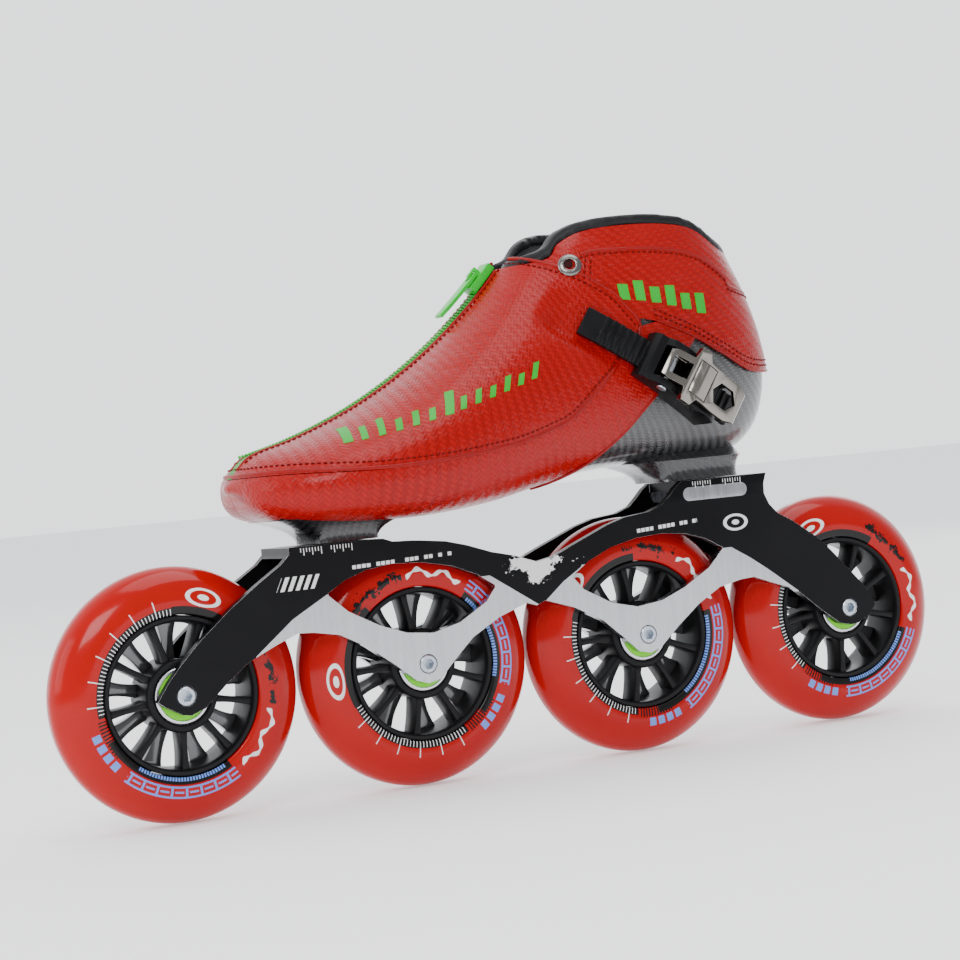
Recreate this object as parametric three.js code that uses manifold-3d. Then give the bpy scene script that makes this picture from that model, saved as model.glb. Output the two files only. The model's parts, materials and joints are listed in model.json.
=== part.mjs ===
// Inline speed skate for the left foot: zip-covered boot, one-piece frame and four wheels in line.
// Millimetres. +X points to the toe, +Y to the skater's left (the buckle side), +Z up.
// The origin is on the ground, under the middle of the wheelbase.
import * as THREE from 'three';
import { mergeVertices } from 'three/addons/utils/BufferGeometryUtils.js';
import Module from 'manifold-3d';

const wasm = await Module();
wasm.setup();

// ---------------------------------------------------------------- driving dimensions
const gap = 0.3; // clearance between pieces that touch

// wheels
const wheelRadius = 50;
const wheelHalfWidth = 12;
const wheelGap = 2; // between one tyre and the next
const treadFlatHalfWidth = 3;
const coreRimOuter = 31;
const coreRimInner = 28.2;
const coreHalfWidth = 11.3;
const hubRadius = 14;
const spokeCount = 9;
const spokeNear = 2.6;
const spokeFar = 7.5;
const bearingOuterRadius = 11;
const bearingRaceWall = 1.7;
const bearingInnerRadius = 5.6;
const bearingWidth = 7;
const bearingBore = 4;
const spacerHalfLength = 4.7;
const sealThickness = 0.8;
const axleRadius = 3.7;
const axleHeadRadius = 5.8;
const axleHeadHeight = 2;
const axleEndProud = 0.5;
const socketRadius = 2.3;
const socketDepth = 4;

// frame
const frameHalfWidth = 16.5;
const frameWall = 4.1;
const creaseRise = 32; // from the axles up to the crease where the walls start to lean in
const deckHalfWidth = 15.9;
const deckThickness = 4;
const deckClearance = 2.4; // from the tops of the tyres up to the front deck's face
const rearDeckRise = 10.5; // from the front deck up to the rear one
const frontDeckRear = 66;
const frontDeckFront = 105.8;
const rearDeckRear = -116.8;
const rearDeckFront = -74.5;
const reliefClearance = 1.2; // round a tyre, where the frame is hollowed for it

// boot to frame fastening
const frontBoltX = 84;
const rearBoltX = -95.6;
const slotLength = 20;
const boltRadius = 3;
const boltHeadRadius = 5;
const boltHeadHeight = 5;
const washerHalfLength = 9;
const washerHalfWidth = 6.5;
const washerThickness = 1.6;
const insertRadius = 5;
const insertLength = 7.5;
const boltEndRoom = 1; // from a bolt's end to the top of its insert
const insertRoof = 0.7;
const blockFootHalfWidth = 15;
const blockCorner = { foot: 4, head: 12 };
const frontBlockFoot = { rear: 64.5, front: 92.8 };
const frontBlockHead = { rear: 44, front: 114, halfWidth: 30, z: 119 };
const rearBlockFoot = { rear: -106.2, front: -66 };
const rearBlockHead = { rear: -119, front: -54, halfWidth: 26, z: 129 };

// The boot is drawn in coordinates of its own, over the middle plane of its last, with the front
// deck at this height. It sits a little to the outside and to the rear of the frame's middle plane.
const bootDeckHeight = 102.4;
const bootPlace = { x: -2, y: -4.2 };

// boot walls, as distances out from the carbon shell's outer face
const shellWall = 2;
const skinWall = 1.6;
const linerWall = 3;
const collarHeight = 4.4;
const collarOutside = 0.6;
const collarInside = 0.8;
const laceSlotHalfWidth = 8;
const tongueHalfWidth = 12;
const collarNotchHalfWidth = 13;

// zipper: its line down the instep is one circular arc in the boot's middle plane
const zipCentre = { x: 164, z: 357 };
const zipRadius = 222.4;
const zipHalfGap = 3.2;
const sliderAngle = -136.5;
const sliderLength = 14;
const sliderHalfWidth = 4.2;
const sliderLift = 0.8;
const sliderHeight = 3.4;
const pullLength = 25;
const pullHalfWidth = 3.1;
const pullThickness = 1.4;
const pullBarRadius = 0.8;

// buckle
const buckleSeat = { x: -60, z: 158.8 };
const buckleSlope = 34; // degrees below level, running to the heel
const strapArcRadius = 170;
const strapHalfWidth = 6.1;
const strapThickness = 2.4;
const strapFront = -44;
const strapTail = 34;
const strapTooth = 0.7;
const strapToothPitch = 3.4;
const baseFloor = 1.8;
const baseHalfWidth = 10;
const baseEar = 3;
const leverPin = { s: -4, n: 6.9 };
const leverPinRadius = 1.5;
const leverPinHeadRadius = 2.2;
const pawlPivot = { s: 19, n: 4.4 };
const pawlPivotRadius = 1.2;
const rivetRadius = 2;
const rivetPlace = 9;

// eyelets at the top of the lacing
const eyeletPlace = { x: -25, z: 205.7 };
const eyeletFlange = 5;
const eyeletTube = 3.2;
const eyeletBore = 2.5;
const eyeletSides = 14;

// ---------------------------------------------------------------- sizes that follow from others
const wheelPitch = 2 * wheelRadius + wheelGap;
const axleHeight = wheelRadius;
const frontDeckTop = 2 * wheelRadius + deckClearance;
const rearDeckTop = frontDeckTop + rearDeckRise;

// ---------------------------------------------------------------- materials
const paint = (color, roughness, metalness = 0) =>
  new THREE.MeshStandardMaterial({ color, roughness, metalness });

const redUrethane = paint(0xc8170f, 0.18);
const blackNylon = paint(0x141416, 0.45);
const bearingSteel = paint(0xb9bcc0, 0.25, 1);
const zincSteel = paint(0x9aa3ad, 0.35, 1);
const blackAlloy = paint(0x17181a, 0.38, 0.8);
const carbon = paint(0x1c1d20, 0.22);
const redLeather = paint(0xc61a14, 0.3);
const blackLeather = paint(0x1b1b1c, 0.55);
const blackLining = paint(0x202022, 0.9);
const greenZip = paint(0x18c43a, 0.4);
const gunmetal = paint(0x8d8780, 0.3, 1);
const blackPlastic = paint(0x121213, 0.35);
const nickel = paint(0xaaa7a0, 0.25, 1);

// ---------------------------------------------------------------- solids
const wide = 90; // cutting shapes run this far to each side, past every piece
const far = 300; // and this far to the toe and the heel

function solidOf(geometry) {
  const bare = geometry.clone();
  bare.deleteAttribute('normal');
  bare.deleteAttribute('uv');
  const merged = mergeVertices(bare, 1e-4);
  return new wasm.Manifold(new wasm.Mesh({
    numProp: 3,
    vertProperties: new Float32Array(merged.attributes.position.array),
    triVerts: new Uint32Array(merged.index.array),
  }));
}

function geometryOf(solid) {
  const mesh = solid.getMesh();
  const geometry = new THREE.BufferGeometry();
  geometry.setAttribute('position', new THREE.BufferAttribute(mesh.vertProperties, 3));
  geometry.setIndex(new THREE.BufferAttribute(mesh.triVerts, 1));
  geometry.computeVertexNormals();
  return geometry;
}

const joined = (first, ...rest) => rest.reduce((all, one) => all.add(one), first);
const cut = (first, ...rest) => rest.reduce((all, one) => all.subtract(one), first);

// A closed outline [a, b] in the side view (x, z), made solid from y = low to y = high.
function plate(outline, low, high) {
  const shape = new THREE.Shape(outline.map(([a, b]) => new THREE.Vector2(a, b)));
  const geometry = new THREE.ExtrudeGeometry(shape, { depth: high - low, bevelEnabled: false });
  geometry.rotateX(Math.PI / 2);
  geometry.translate(0, high, 0);
  return solidOf(geometry);
}

function box(x0, x1, y0, y1, z0, z1) {
  const geometry = new THREE.BoxGeometry(x1 - x0, y1 - y0, z1 - z0);
  geometry.translate((x0 + x1) / 2, (y0 + y1) / 2, (z0 + z1) / 2);
  return solidOf(geometry);
}

// A rod along Y between two ends.
function rodY(x, z, radius, low, high, sides = 16) {
  const geometry = new THREE.CylinderGeometry(radius, radius, high - low, sides);
  geometry.translate(x, (low + high) / 2, z);
  return solidOf(geometry);
}

// A rod along Z between two ends.
function rodZ(x, y, radius, low, high, sides = 16) {
  const geometry = new THREE.CylinderGeometry(radius, radius, high - low, sides);
  geometry.rotateX(Math.PI / 2);
  geometry.translate(x, y, (low + high) / 2);
  return solidOf(geometry);
}

// A ring about Y. The profile is a closed list of [radius, y], going up its outer side first.
function ringY(profile, segments) {
  const points = [...profile, profile[0]].map(([r, y]) => new THREE.Vector2(r, y));
  return new THREE.LatheGeometry(points, segments);
}

const skate = new THREE.Group();

function piece(name, shape, material, parent = skate) {
  const geometry = shape instanceof THREE.BufferGeometry ? shape : geometryOf(shape);
  const mesh = new THREE.Mesh(geometry, material);
  mesh.name = name;
  parent.add(mesh);
  return mesh;
}

// ---------------------------------------------------------------- wheels
const wheelPlaces = {
  front: 1.5 * wheelPitch,
  second: 0.5 * wheelPitch,
  third: -0.5 * wheelPitch,
  rear: -1.5 * wheelPitch,
};
const wheelSegments = 30;
const hubSegments = 15;
const bearingSegments = 14;
const boreSegments = 10;

function tyre() {
  const bore = coreRimOuter + gap;
  const flank = 0.75 * wheelRadius;
  const half = [
    [bore, coreHalfWidth],
    [flank, wheelHalfWidth],
    [wheelRadius - 5.5, 0.76 * wheelHalfWidth],
    [wheelRadius - 1.4, 0.47 * wheelHalfWidth],
    [wheelRadius, treadFlatHalfWidth],
  ];
  const lower = half.map(([r, y]) => [r, -y]);
  return ringY([...lower, ...half.reverse()], wheelSegments);
}

function core() {
  const hubHalf = wheelHalfWidth - 0.2;
  const shoulder = bearingOuterRadius - bearingRaceWall;
  const pocketFloor = spacerHalfLength;
  const pocket = bearingOuterRadius + gap;
  const rim = solidOf(ringY([
    [coreRimOuter, -coreHalfWidth], [coreRimOuter, coreHalfWidth],
    [coreRimInner, coreHalfWidth], [coreRimInner, -coreHalfWidth],
  ], wheelSegments));
  const hub = solidOf(ringY([
    [hubRadius, -hubHalf], [hubRadius, hubHalf],
    [pocket, hubHalf], [pocket, pocketFloor],
    [shoulder, pocketFloor], [shoulder, -pocketFloor],
    [pocket, -pocketFloor], [pocket, -hubHalf],
  ], hubSegments));
  let whole = rim.add(hub);
  const thin = spokeNear / 2;
  const thick = spokeFar / 2;
  const depth = coreHalfWidth - 2;
  for (let i = 0; i < spokeCount; i++) {
    const section = new THREE.Shape([
      new THREE.Vector2(-thick, -depth), new THREE.Vector2(thick, -depth),
      new THREE.Vector2(thin, 0), new THREE.Vector2(thin, depth),
      new THREE.Vector2(-thin, depth), new THREE.Vector2(-thin, 0),
    ]);
    const reach = (coreRimInner + coreRimOuter) / 2 - hubRadius + 1;
    const spoke = new THREE.ExtrudeGeometry(section, { depth: reach, bevelEnabled: false });
    spoke.translate(0, 0, hubRadius - 1);
    spoke.rotateY((2 * Math.PI * (i + 0.5)) / spokeCount);
    whole = whole.add(solidOf(spoke));
  }
  return geometryOf(whole);
}

// Outer race with its seal, for the left bearing; the right one is its mirror image.
function bearingOuter(side) {
  const inner = spacerHalfLength + gap;
  const outer = inner + bearingWidth;
  const race = bearingOuterRadius - bearingRaceWall;
  const lip = bearingInnerRadius + gap;
  const profile = [
    [bearingOuterRadius, inner], [bearingOuterRadius, outer],
    [lip, outer], [lip, outer - sealThickness],
    [race, outer - sealThickness], [race, inner],
  ];
  if (side > 0) return ringY(profile, bearingSegments);
  return ringY(profile.map(([r, y]) => [r, -y]).reverse(), bearingSegments);
}

function tube(inner, outer, low, high, segments) {
  return ringY([[outer, low], [outer, high], [inner, high], [inner, low]], segments);
}

function axle() {
  const headSeat = -frameHalfWidth + axleHeadHeight;
  const end = frameHalfWidth + axleEndProud;
  const shaft = rodY(0, 0, axleRadius, headSeat - 1, end, 12);
  const head = rodY(0, 0, axleHeadRadius, -frameHalfWidth, headSeat, 12);
  const sockets = [
    rodY(0, 0, socketRadius, end - socketDepth, end + 1, 6),
    rodY(0, 0, socketRadius, -frameHalfWidth - 1, -frameHalfWidth + socketDepth, 6),
  ];
  return cut(shaft.add(head), ...sockets);
}

const tyreShape = tyre();
const coreShape = core();
const axleShape = geometryOf(axle());
const innerFace = spacerHalfLength + gap;
const outerFace = innerFace + bearingWidth;

for (const [place, x] of Object.entries(wheelPlaces)) {
  const wheel = new THREE.Group();
  wheel.position.set(x, 0, wheelRadius);
  skate.add(wheel);
  piece(`${place}_tyre`, tyreShape, redUrethane, wheel);
  piece(`${place}_core`, coreShape, blackNylon, wheel);
  piece(`${place}_bearing_outer_left`, bearingOuter(1), bearingSteel, wheel);
  piece(`${place}_bearing_outer_right`, bearingOuter(-1), bearingSteel, wheel);
  piece(`${place}_bearing_inner_left`,
    tube(bearingBore, bearingInnerRadius, innerFace, outerFace, boreSegments), bearingSteel, wheel);
  piece(`${place}_bearing_inner_right`,
    tube(bearingBore, bearingInnerRadius, -outerFace, -innerFace, boreSegments), bearingSteel, wheel);
  piece(`${place}_spacer`,
    tube(bearingBore, bearingInnerRadius, -spacerHalfLength, spacerHalfLength, boreSegments),
    zincSteel, wheel);
  piece(`${place}_axle`, axleShape, zincSteel, wheel);
}

// ---------------------------------------------------------------- frame
const outerAxle = wheelPlaces.front;
const innerAxle = wheelPlaces.second;
// The V arms and the windows are drawn for this wheel, and stretch with the real one.
const drawnRadius = 50;
const drawnPitch = 102;
const stretch = { x: wheelPitch / drawnPitch, z: wheelRadius / drawnRadius };

// Offsets from an axle centre keep each leg's foot round its own axle.
const frontFoot = [
  [0.8, 12.3], [6.3, 6.2], [11.5, -1], [8.6, -3.3], [2.1, -7], [-1.3, -7.6], [-7.2, -5.5],
  [-11.4, -1.8], [-16.5, 2.6], [-26.4, 9.9],
].map(([dx, dz]) => [outerAxle + dx, axleHeight + dz]);
const rearFoot = [
  [26.9, 11], [14.4, 0.4], [10.2, -2.7], [5.6, -6.2], [-0.4, -7.6], [-4, -7.1], [-10.1, -4],
  [-13.6, -0.2], [-12.2, 4.3], [-8.2, 9.5],
].map(([dx, dz]) => [-outerAxle + dx, axleHeight + dz]);
// The V round a middle wheel's axle, from its outer arch to the frame's middle.
const innerFoot = [
  [63.2, 15.3], [54.5, 18.6], [48, 18.2], [37, 16.1], [26, 10.1], [15.3, 2.1], [5.6, -6.1],
  [0.5, -7.8], [-4.9, -6.6], [-11.6, -0.1], [-20.8, 8.3], [-33.7, 15.2], [-46.7, 19.6],
].map(([dx, dz]) => [innerAxle + stretch.x * dx, axleHeight + dz]);
const middleTip = [0, axleHeight + 18];
// A leg's top edge, as shares of the way out and down from the deck's end to the axle.
const legEdge = (points, deckEnd, deckTop, axle) => points.map(([out, down]) => [
  deckEnd + out * (axle - deckEnd), deckTop - down * (deckTop - axleHeight)]);
const frontLeg = legEdge([
  [0, 0], [0, 0.05], [0.078, 0.118], [0.309, 0.25], [0.559, 0.405], [0.837, 0.609],
], frontDeckFront, frontDeckTop, outerAxle);
const rearLeg = legEdge([
  [0.878, 0.626], [0.671, 0.501], [0.304, 0.348], [0.108, 0.285], [0.006, 0.218], [-0.05, 0.142],
  [-0.047, 0.073], [0, 0],
], rearDeckRear, rearDeckTop, -outerAxle);
// The top edge between the decks, as heights above the axles.
const backbone = [
  [-71.2, 60.7], [-67.7, 57.2], [-63.8, 53.8], [-57, 51.4], [-45.2, 50.2], [-36.3, 47.7],
  [-18.7, 40.8], [-9.9, 37.2], [-2.3, 35.8], [8.1, 39.5], [18.2, 42], [29.3, 46], [38.2, 48.4],
  [50, 49.9], [61.4, 50.6], [65.3, 52.1],
].map(([x, rise]) => [x, axleHeight + stretch.z * rise]);

function frameOutline() {
  const mirrored = innerFoot.map(([x, z]) => [-x, z]).reverse();
  return [
    ...frontLeg, ...frontFoot, ...innerFoot, middleTip, ...mirrored, ...rearFoot, ...rearLeg,
    [rearDeckFront, rearDeckTop], ...backbone, [70, frontDeckTop],
  ];
}

// The eye-shaped window over a middle wheel: two smooth curves between its two corners.
const windowTop = [[-32.8, 28.5], [-21, 35.8], [-4.1, 40.6], [14, 41.6], [28.7, 38.9], [40, 33]];
const windowFoot = [
  [40, 32], [32.4, 24.9], [19.4, 17.8], [8.1, 13.6], [-3.5, 12.2], [-15.7, 15.1], [-28.5, 22.2],
  [-32.8, 27.5],
];
function windowHole(side) {
  const outline = [windowTop, windowFoot].flatMap((line) => {
    const curve = new THREE.SplineCurve(line.map(([dx, dz]) => new THREE.Vector2(
      side * (innerAxle + stretch.x * dx), axleHeight + stretch.z * dz)));
    return curve.getPoints(7).map((point) => [point.x, point.y]);
  });
  return plate(outline, -wide, wide);
}

function frame() {
  const inner = frameHalfWidth - frameWall;
  const creaseHeight = axleHeight + creaseRise;
  const top = rearDeckTop + 2;
  let body = cut(plate(frameOutline(), -frameHalfWidth, frameHalfWidth),
    windowHole(1), windowHole(-1));
  // the channel between the walls, below and between the decks
  const channel = [
    box(frontDeckRear, far, -inner, inner, 0, frontDeckTop - deckThickness),
    box(rearDeckFront, frontDeckRear, -inner, inner, 0, top),
    box(-far, rearDeckFront, -inner, inner, 0, rearDeckTop - deckThickness),
  ];
  body = cut(body, ...channel);
  // the walls lean in above the crease
  const outside = frameHalfWidth + 2;
  const lean = [
    [creaseHeight, frameHalfWidth], [frontDeckTop, deckHalfWidth], [top, deckHalfWidth],
    [top, outside], [creaseHeight, outside],
  ];
  for (const side of [1, -1]) {
    const shape = new THREE.Shape(lean.map(([z, y]) => new THREE.Vector2(z, side * y)));
    const geometry = new THREE.ExtrudeGeometry(shape, { depth: 2 * far, bevelEnabled: false });
    geometry.translate(0, 0, -far);
    // drawn as (z, y) and swept along the third axis, which becomes x
    geometry.applyMatrix4(new THREE.Matrix4().set(0, 0, 1, 0, 0, 1, 0, 0, 1, 0, 0, 0, 0, 0, 0, 1));
    body = body.subtract(facingOut(geometry));
  }
  for (const x of Object.values(wheelPlaces)) {
    body = cut(body,
      rodY(x, axleHeight, wheelRadius + reliefClearance, -inner, inner, 36),
      rodY(x, axleHeight, axleRadius + gap, -wide, wide),
      rodY(x, axleHeight, axleHeadRadius + gap, -wide, -frameHalfWidth + axleHeadHeight + gap));
  }
  return cut(body, slot(frontBoltX, frontDeckTop), slot(rearBoltX, rearDeckTop));
}

// Some mirrored sweeps come out inside-out; this turns them the right way.
function facingOut(geometry) {
  const flat = geometry.index ? geometry.toNonIndexed() : geometry;
  const p = flat.attributes.position.array;
  let volume = 0;
  for (let i = 0; i < p.length; i += 9) {
    const a = new THREE.Vector3(p[i], p[i + 1], p[i + 2]);
    const b = new THREE.Vector3(p[i + 3], p[i + 4], p[i + 5]);
    const c = new THREE.Vector3(p[i + 6], p[i + 7], p[i + 8]);
    volume += a.dot(b.cross(c));
  }
  if (volume < 0) {
    for (let i = 0; i < p.length; i += 9) {
      for (let k = 0; k < 3; k++) {
        [p[i + 3 + k], p[i + 6 + k]] = [p[i + 6 + k], p[i + 3 + k]];
      }
    }
  }
  return solidOf(flat);
}

// The slot through a deck, along which its bolt can be set.
function slot(x, deckTop) {
  const radius = boltRadius + gap;
  const reach = slotLength / 2 - radius;
  const low = deckTop - deckThickness - 1;
  const high = deckTop + 1;
  return joined(
    box(x - reach, x + reach, -radius, radius, low, high),
    rodZ(x - reach, 0, radius, low, high),
    rodZ(x + reach, 0, radius, low, high),
  );
}

piece('frame', frame(), blackAlloy);

// ---------------------------------------------------------------- boot surface
const bootGroup = new THREE.Group();
bootGroup.position.set(bootPlace.x, bootPlace.y, frontDeckTop - bootDeckHeight);
skate.add(bootGroup);

// Ribs of the last, from the toe round the heel to the top of the ankle. Each rib is an oval in a
// plane across the boot: [instep x, instep z, sole x, sole z, half width left, half width right].
const instepRadius = zipRadius + gap + skinWall;
const instep = (x) => zipCentre.z - Math.sqrt(instepRadius ** 2 - (x - zipCentre.x) ** 2);
const ribs = [
  [121.5, 129.5, 121, 125.5, 7, 7],
  [119, 133.5, 117.5, 118.5, 20, 19],
  [112, instep(112), 110, 115, 30, 27.5],
  [95, instep(95), 94, 113, 41, 37],
  [72, instep(72), 72, 111.4, 46.2, 42.3],
  [50, instep(50), 48, 110.8, 47.5, 44],
  [30, instep(30), 18, 113.2, 45.3, 43.5],
  [14, instep(14), -12, 118.4, 42.2, 41],
  [2, instep(2), -45, 121.6, 39, 38],
  [-6, 211, -78, 122, 37, 36.5],
  [-10, 217, -102, 122.9, 36.5, 36],
  [-14, 224, -117, 132, 36, 36],
  [-17, 230, -124, 149, 35.7, 35.5],
  [-20, 237, -123, 166, 35, 35],
  [-22.5, 245, -117, 186, 34.2, 34.2],
  [-25, 258, -104, 216, 32.5, 32.5],
  [-27, 282, -97, 248, 31.5, 31.5],
];
const ribPoints = 20;
const ankleRib = 9; // from here back the ribs are even ovals; forward of it they are shoe-shaped

function lastGeometry() {
  const positions = [];
  ribs.forEach(([topX, topZ, soleX, soleZ, left, right], i) => {
    const fore = THREE.MathUtils.clamp((ankleRib - i) / 5, 0, 1);
    const widest = 0.5 - 0.1 * fore;
    const topPower = 2 / (2.2 - 0.3 * fore);
    const solePower = 2 / (2.3 + 0.9 * fore);
    const midX = soleX + (topX - soleX) * widest;
    const midZ = soleZ + (topZ - soleZ) * widest;
    for (let k = 0; k < ribPoints; k++) {
      const angle = (2 * Math.PI * k) / ribPoints;
      const power = Math.sin(angle) >= 0 ? topPower : solePower;
      const share = Math.sin(angle) >= 0 ? 1 - widest : widest;
      const up = share * Math.sign(Math.sin(angle)) * Math.abs(Math.sin(angle)) ** power;
      const across = Math.sign(Math.cos(angle)) * Math.abs(Math.cos(angle)) ** power;
      positions.push(
        midX + (topX - soleX) * up,
        across * (across >= 0 ? left : right),
        midZ + (topZ - soleZ) * up,
      );
    }
  });
  const first = ribs[0];
  const last = ribs[ribs.length - 1];
  const toeEnd = ribs.length * ribPoints;
  positions.push(first[0] + 1, 0, (first[1] + first[3]) / 2);
  positions.push((last[0] + last[2]) / 2, 0, (last[1] + last[3]) / 2);
  const triangles = [];
  for (let k = 0; k < ribPoints; k++) {
    const next = (k + 1) % ribPoints;
    for (let i = 0; i + 1 < ribs.length; i++) {
      const a = i * ribPoints + k;
      const b = i * ribPoints + next;
      triangles.push(a, a + ribPoints, b, b, a + ribPoints, b + ribPoints);
    }
    const base = (ribs.length - 1) * ribPoints;
    triangles.push(toeEnd, k, next);
    triangles.push(toeEnd + 1, base + next, base + k);
  }
  const geometry = new THREE.BufferGeometry();
  geometry.setAttribute('position', new THREE.Float32BufferAttribute(positions, 3));
  geometry.setIndex(triangles);
  geometry.computeVertexNormals();
  return geometry;
}

const last = lastGeometry();

// The last grown (or shrunk) by a distance all over.
function boot(offset) {
  const geometry = last.clone();
  const p = geometry.attributes.position;
  const n = geometry.attributes.normal;
  for (let i = 0; i < p.count; i++) {
    p.setXYZ(i, p.getX(i) + offset * n.getX(i), p.getY(i) + offset * n.getY(i),
      p.getZ(i) + offset * n.getZ(i));
  }
  return solidOf(geometry);
}

// Where a line across the boot at (x, z) meets one side of the last, and the way it faces there.
function onSide(x, z, side) {
  const probe = new THREE.Raycaster(
    new THREE.Vector3(x, side * 120, z), new THREE.Vector3(0, -side, 0));
  const hit = probe.intersectObject(new THREE.Mesh(last, redLeather))[0];
  return { point: hit.point, normal: hit.face.normal.clone() };
}

const skinOut = gap + skinWall;
const linerOut = -shellWall - gap;
const linerIn = linerOut - linerWall;
const layer = {
  skinOuter: boot(skinOut),
  skinInner: boot(gap),
  shellOuter: boot(0),
  shellInner: boot(-shellWall),
  linerOuter: boot(linerOut),
  linerInner: boot(linerIn),
  bed: boot(linerIn - gap),
};
const skin = layer.skinOuter.subtract(layer.skinInner);
const wall = layer.shellOuter.subtract(layer.shellInner);
const lining = layer.linerOuter.subtract(layer.linerInner);

// ---------------------------------------------------------------- lines that divide the boot
const lifted = (line, by) => line.map(([x, z]) => [x, z + by]);

// the seam between the zip cover and the rand, from toe to ankle
const coverSeam = [
  [140, 131.5], [110, 131.2], [80, 129.8], [59, 130.5], [38, 132.2], [16, 135.1], [0, 139.3],
  [-12, 143.8], [-27.5, 155.8], [-37, 163.8], [-47, 173], [-49.5, 179],
];
// the cover's free edge over the ankle, from its end at the seam up to the zip
const coverEdge = [
  [-48, 181], [-44.7, 187.3], [-40.8, 192.6], [-35.3, 197], [-27.3, 202.3], [-14.3, 208.7],
  [-7.8, 211.5], [-3.5, 212],
];
// the rand's lower edge under the arch and up behind the buckle
const randEdge = [
  [22, 100], [22, 111.8], [5, 114.9], [-6, 117.4], [-20, 123.3], [-29, 128.9], [-39, 136.2],
  [-46, 142.6], [-54, 149.7], [-64, 160], [-75, 172.4],
];
// the cuff's lower edge round the heel
const cuffEdge = [[-140, 158.5], [-108.4, 157.2], [-89.3, 165.4], [-75, 173.1], [-57.5, 180.6]];
// the top edge of the carbon shell, under the rand and the cuff
const shellEdge = [[140, 139], [40, 139], [0, 147], [-30, 166], [-57, 186], [-89, 173], [-140, 165]];
// the top line of the ankle, from the zip round to the heel
const collarLine = [
  [20, 209], [-14, 209.5], [-22, 216], [-30, 220], [-42, 221.5], [-60, 221.5], [-75, 220],
  [-84, 217], [-95, 210.5], [-107, 208], [-150, 205],
];

const belowCollar = plate([...collarLine, [-150, 90], [150, 90], [150, 209]], -wide, wide);
const randZone = plate([
  [140, 90], ...lifted(coverSeam, -gap), ...lifted(cuffEdge, -gap).reverse().slice(0, 2),
  ...[...randEdge].reverse(), [22, 90],
], -wide, wide);
const coverZone = plate([...coverSeam, ...coverEdge, [-3.5, 260], [150, 260]], -wide, wide);
const cuffFront = coverEdge.map(([x, z]) => [x - gap, z + gap]);
const cuffZone = plate([...cuffEdge, [-50.3, 182.3], ...cuffFront, [-3.8, 260], [-150, 260]],
  -wide, wide);
const shellZone = plate([...shellEdge, [-140, 90], [140, 90]], -wide, wide);
const upperZone = plate([...lifted(shellEdge, gap), [-140, 300], [150, 300]], -wide, wide);

const laceSlot = box(-40, 80, -laceSlotHalfWidth, laceSlotHalfWidth, 150, 300);
const notch = box(-45, 40, -collarNotchHalfWidth, collarNotchHalfWidth, 195, 300);

// ---------------------------------------------------------------- buckle frame of reference
// s runs along the strap to the heel, v across it, n out from the boot; zero is the strap's middle.
const slope = THREE.MathUtils.degToRad(buckleSlope);
const seat = onSide(buckleSeat.x, buckleSeat.z, 1);
const strapLift = skinOut + gap + baseFloor + gap + strapThickness / 2;
const sAxis = new THREE.Vector3(-Math.cos(slope), 0, -Math.sin(slope));
const vAxis = new THREE.Vector3(-Math.sin(slope), 0, Math.cos(slope));
const nAxis = new THREE.Vector3(0, 1, 0);
const strapMiddle = seat.point.clone().addScaledVector(nAxis, strapLift);
const buckleMatrix = new THREE.Matrix4().makeBasis(sAxis, vAxis, nAxis).setPosition(strapMiddle);

// An outline [s, n] made solid from v = low to v = high, in the buckle's place.
function buckleBar(outline, low, high) {
  const shape = new THREE.Shape(outline.map(([s, n]) => new THREE.Vector2(s, n)));
  const geometry = new THREE.ExtrudeGeometry(shape, { depth: high - low, bevelEnabled: false });
  geometry.rotateX(Math.PI / 2);
  geometry.translate(0, high, 0);
  return facingOut(geometry.applyMatrix4(buckleMatrix));
}

// An outline [s, v] made solid from n = low to n = high.
function bucklePlan(outline, low, high) {
  const shape = new THREE.Shape(outline.map(([s, v]) => new THREE.Vector2(s, v)));
  const geometry = new THREE.ExtrudeGeometry(shape, { depth: high - low, bevelEnabled: false });
  geometry.translate(0, 0, low);
  return facingOut(geometry.applyMatrix4(buckleMatrix));
}

// A rod across the buckle at (s, n).
function buckleRod(place, radius, low, high, sides = 12) {
  const geometry = new THREE.CylinderGeometry(radius, radius, high - low, sides);
  geometry.translate(place.s, (low + high) / 2, place.n);
  return facingOut(geometry.applyMatrix4(buckleMatrix));
}

// The strap's path: an arc about a line across the buckle, deep inside the boot.
function strapPoint(s, n) {
  const turn = s / strapArcRadius;
  const radius = strapArcRadius + n;
  return [radius * Math.sin(turn), radius * Math.cos(turn) - strapArcRadius];
}

function arcPoints(from, to, steps, n) {
  return Array.from({ length: steps + 1 }, (_, i) => strapPoint(from + ((to - from) * i) / steps, n));
}

function strapBand(front, tail, halfWidth, low, high) {
  const outline = [...arcPoints(front, tail, 10, low), ...arcPoints(tail, front, 10, high)];
  return buckleBar(outline, -halfWidth, halfWidth);
}

const strapRoom = strapBand(strapFront - 10, strapTail + 15, strapHalfWidth + gap,
  -strapThickness / 2 - gap, strapThickness / 2 + strapTooth + gap);
const rivetPath = (radius) => {
  const geometry = new THREE.CylinderGeometry(radius, radius, 16, 12);
  geometry.rotateX(Math.PI / 2);
  geometry.translate(rivetPlace, 0, -strapThickness / 2 - 2 * gap - 8);
  return facingOut(geometry.applyMatrix4(buckleMatrix));
};

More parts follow.
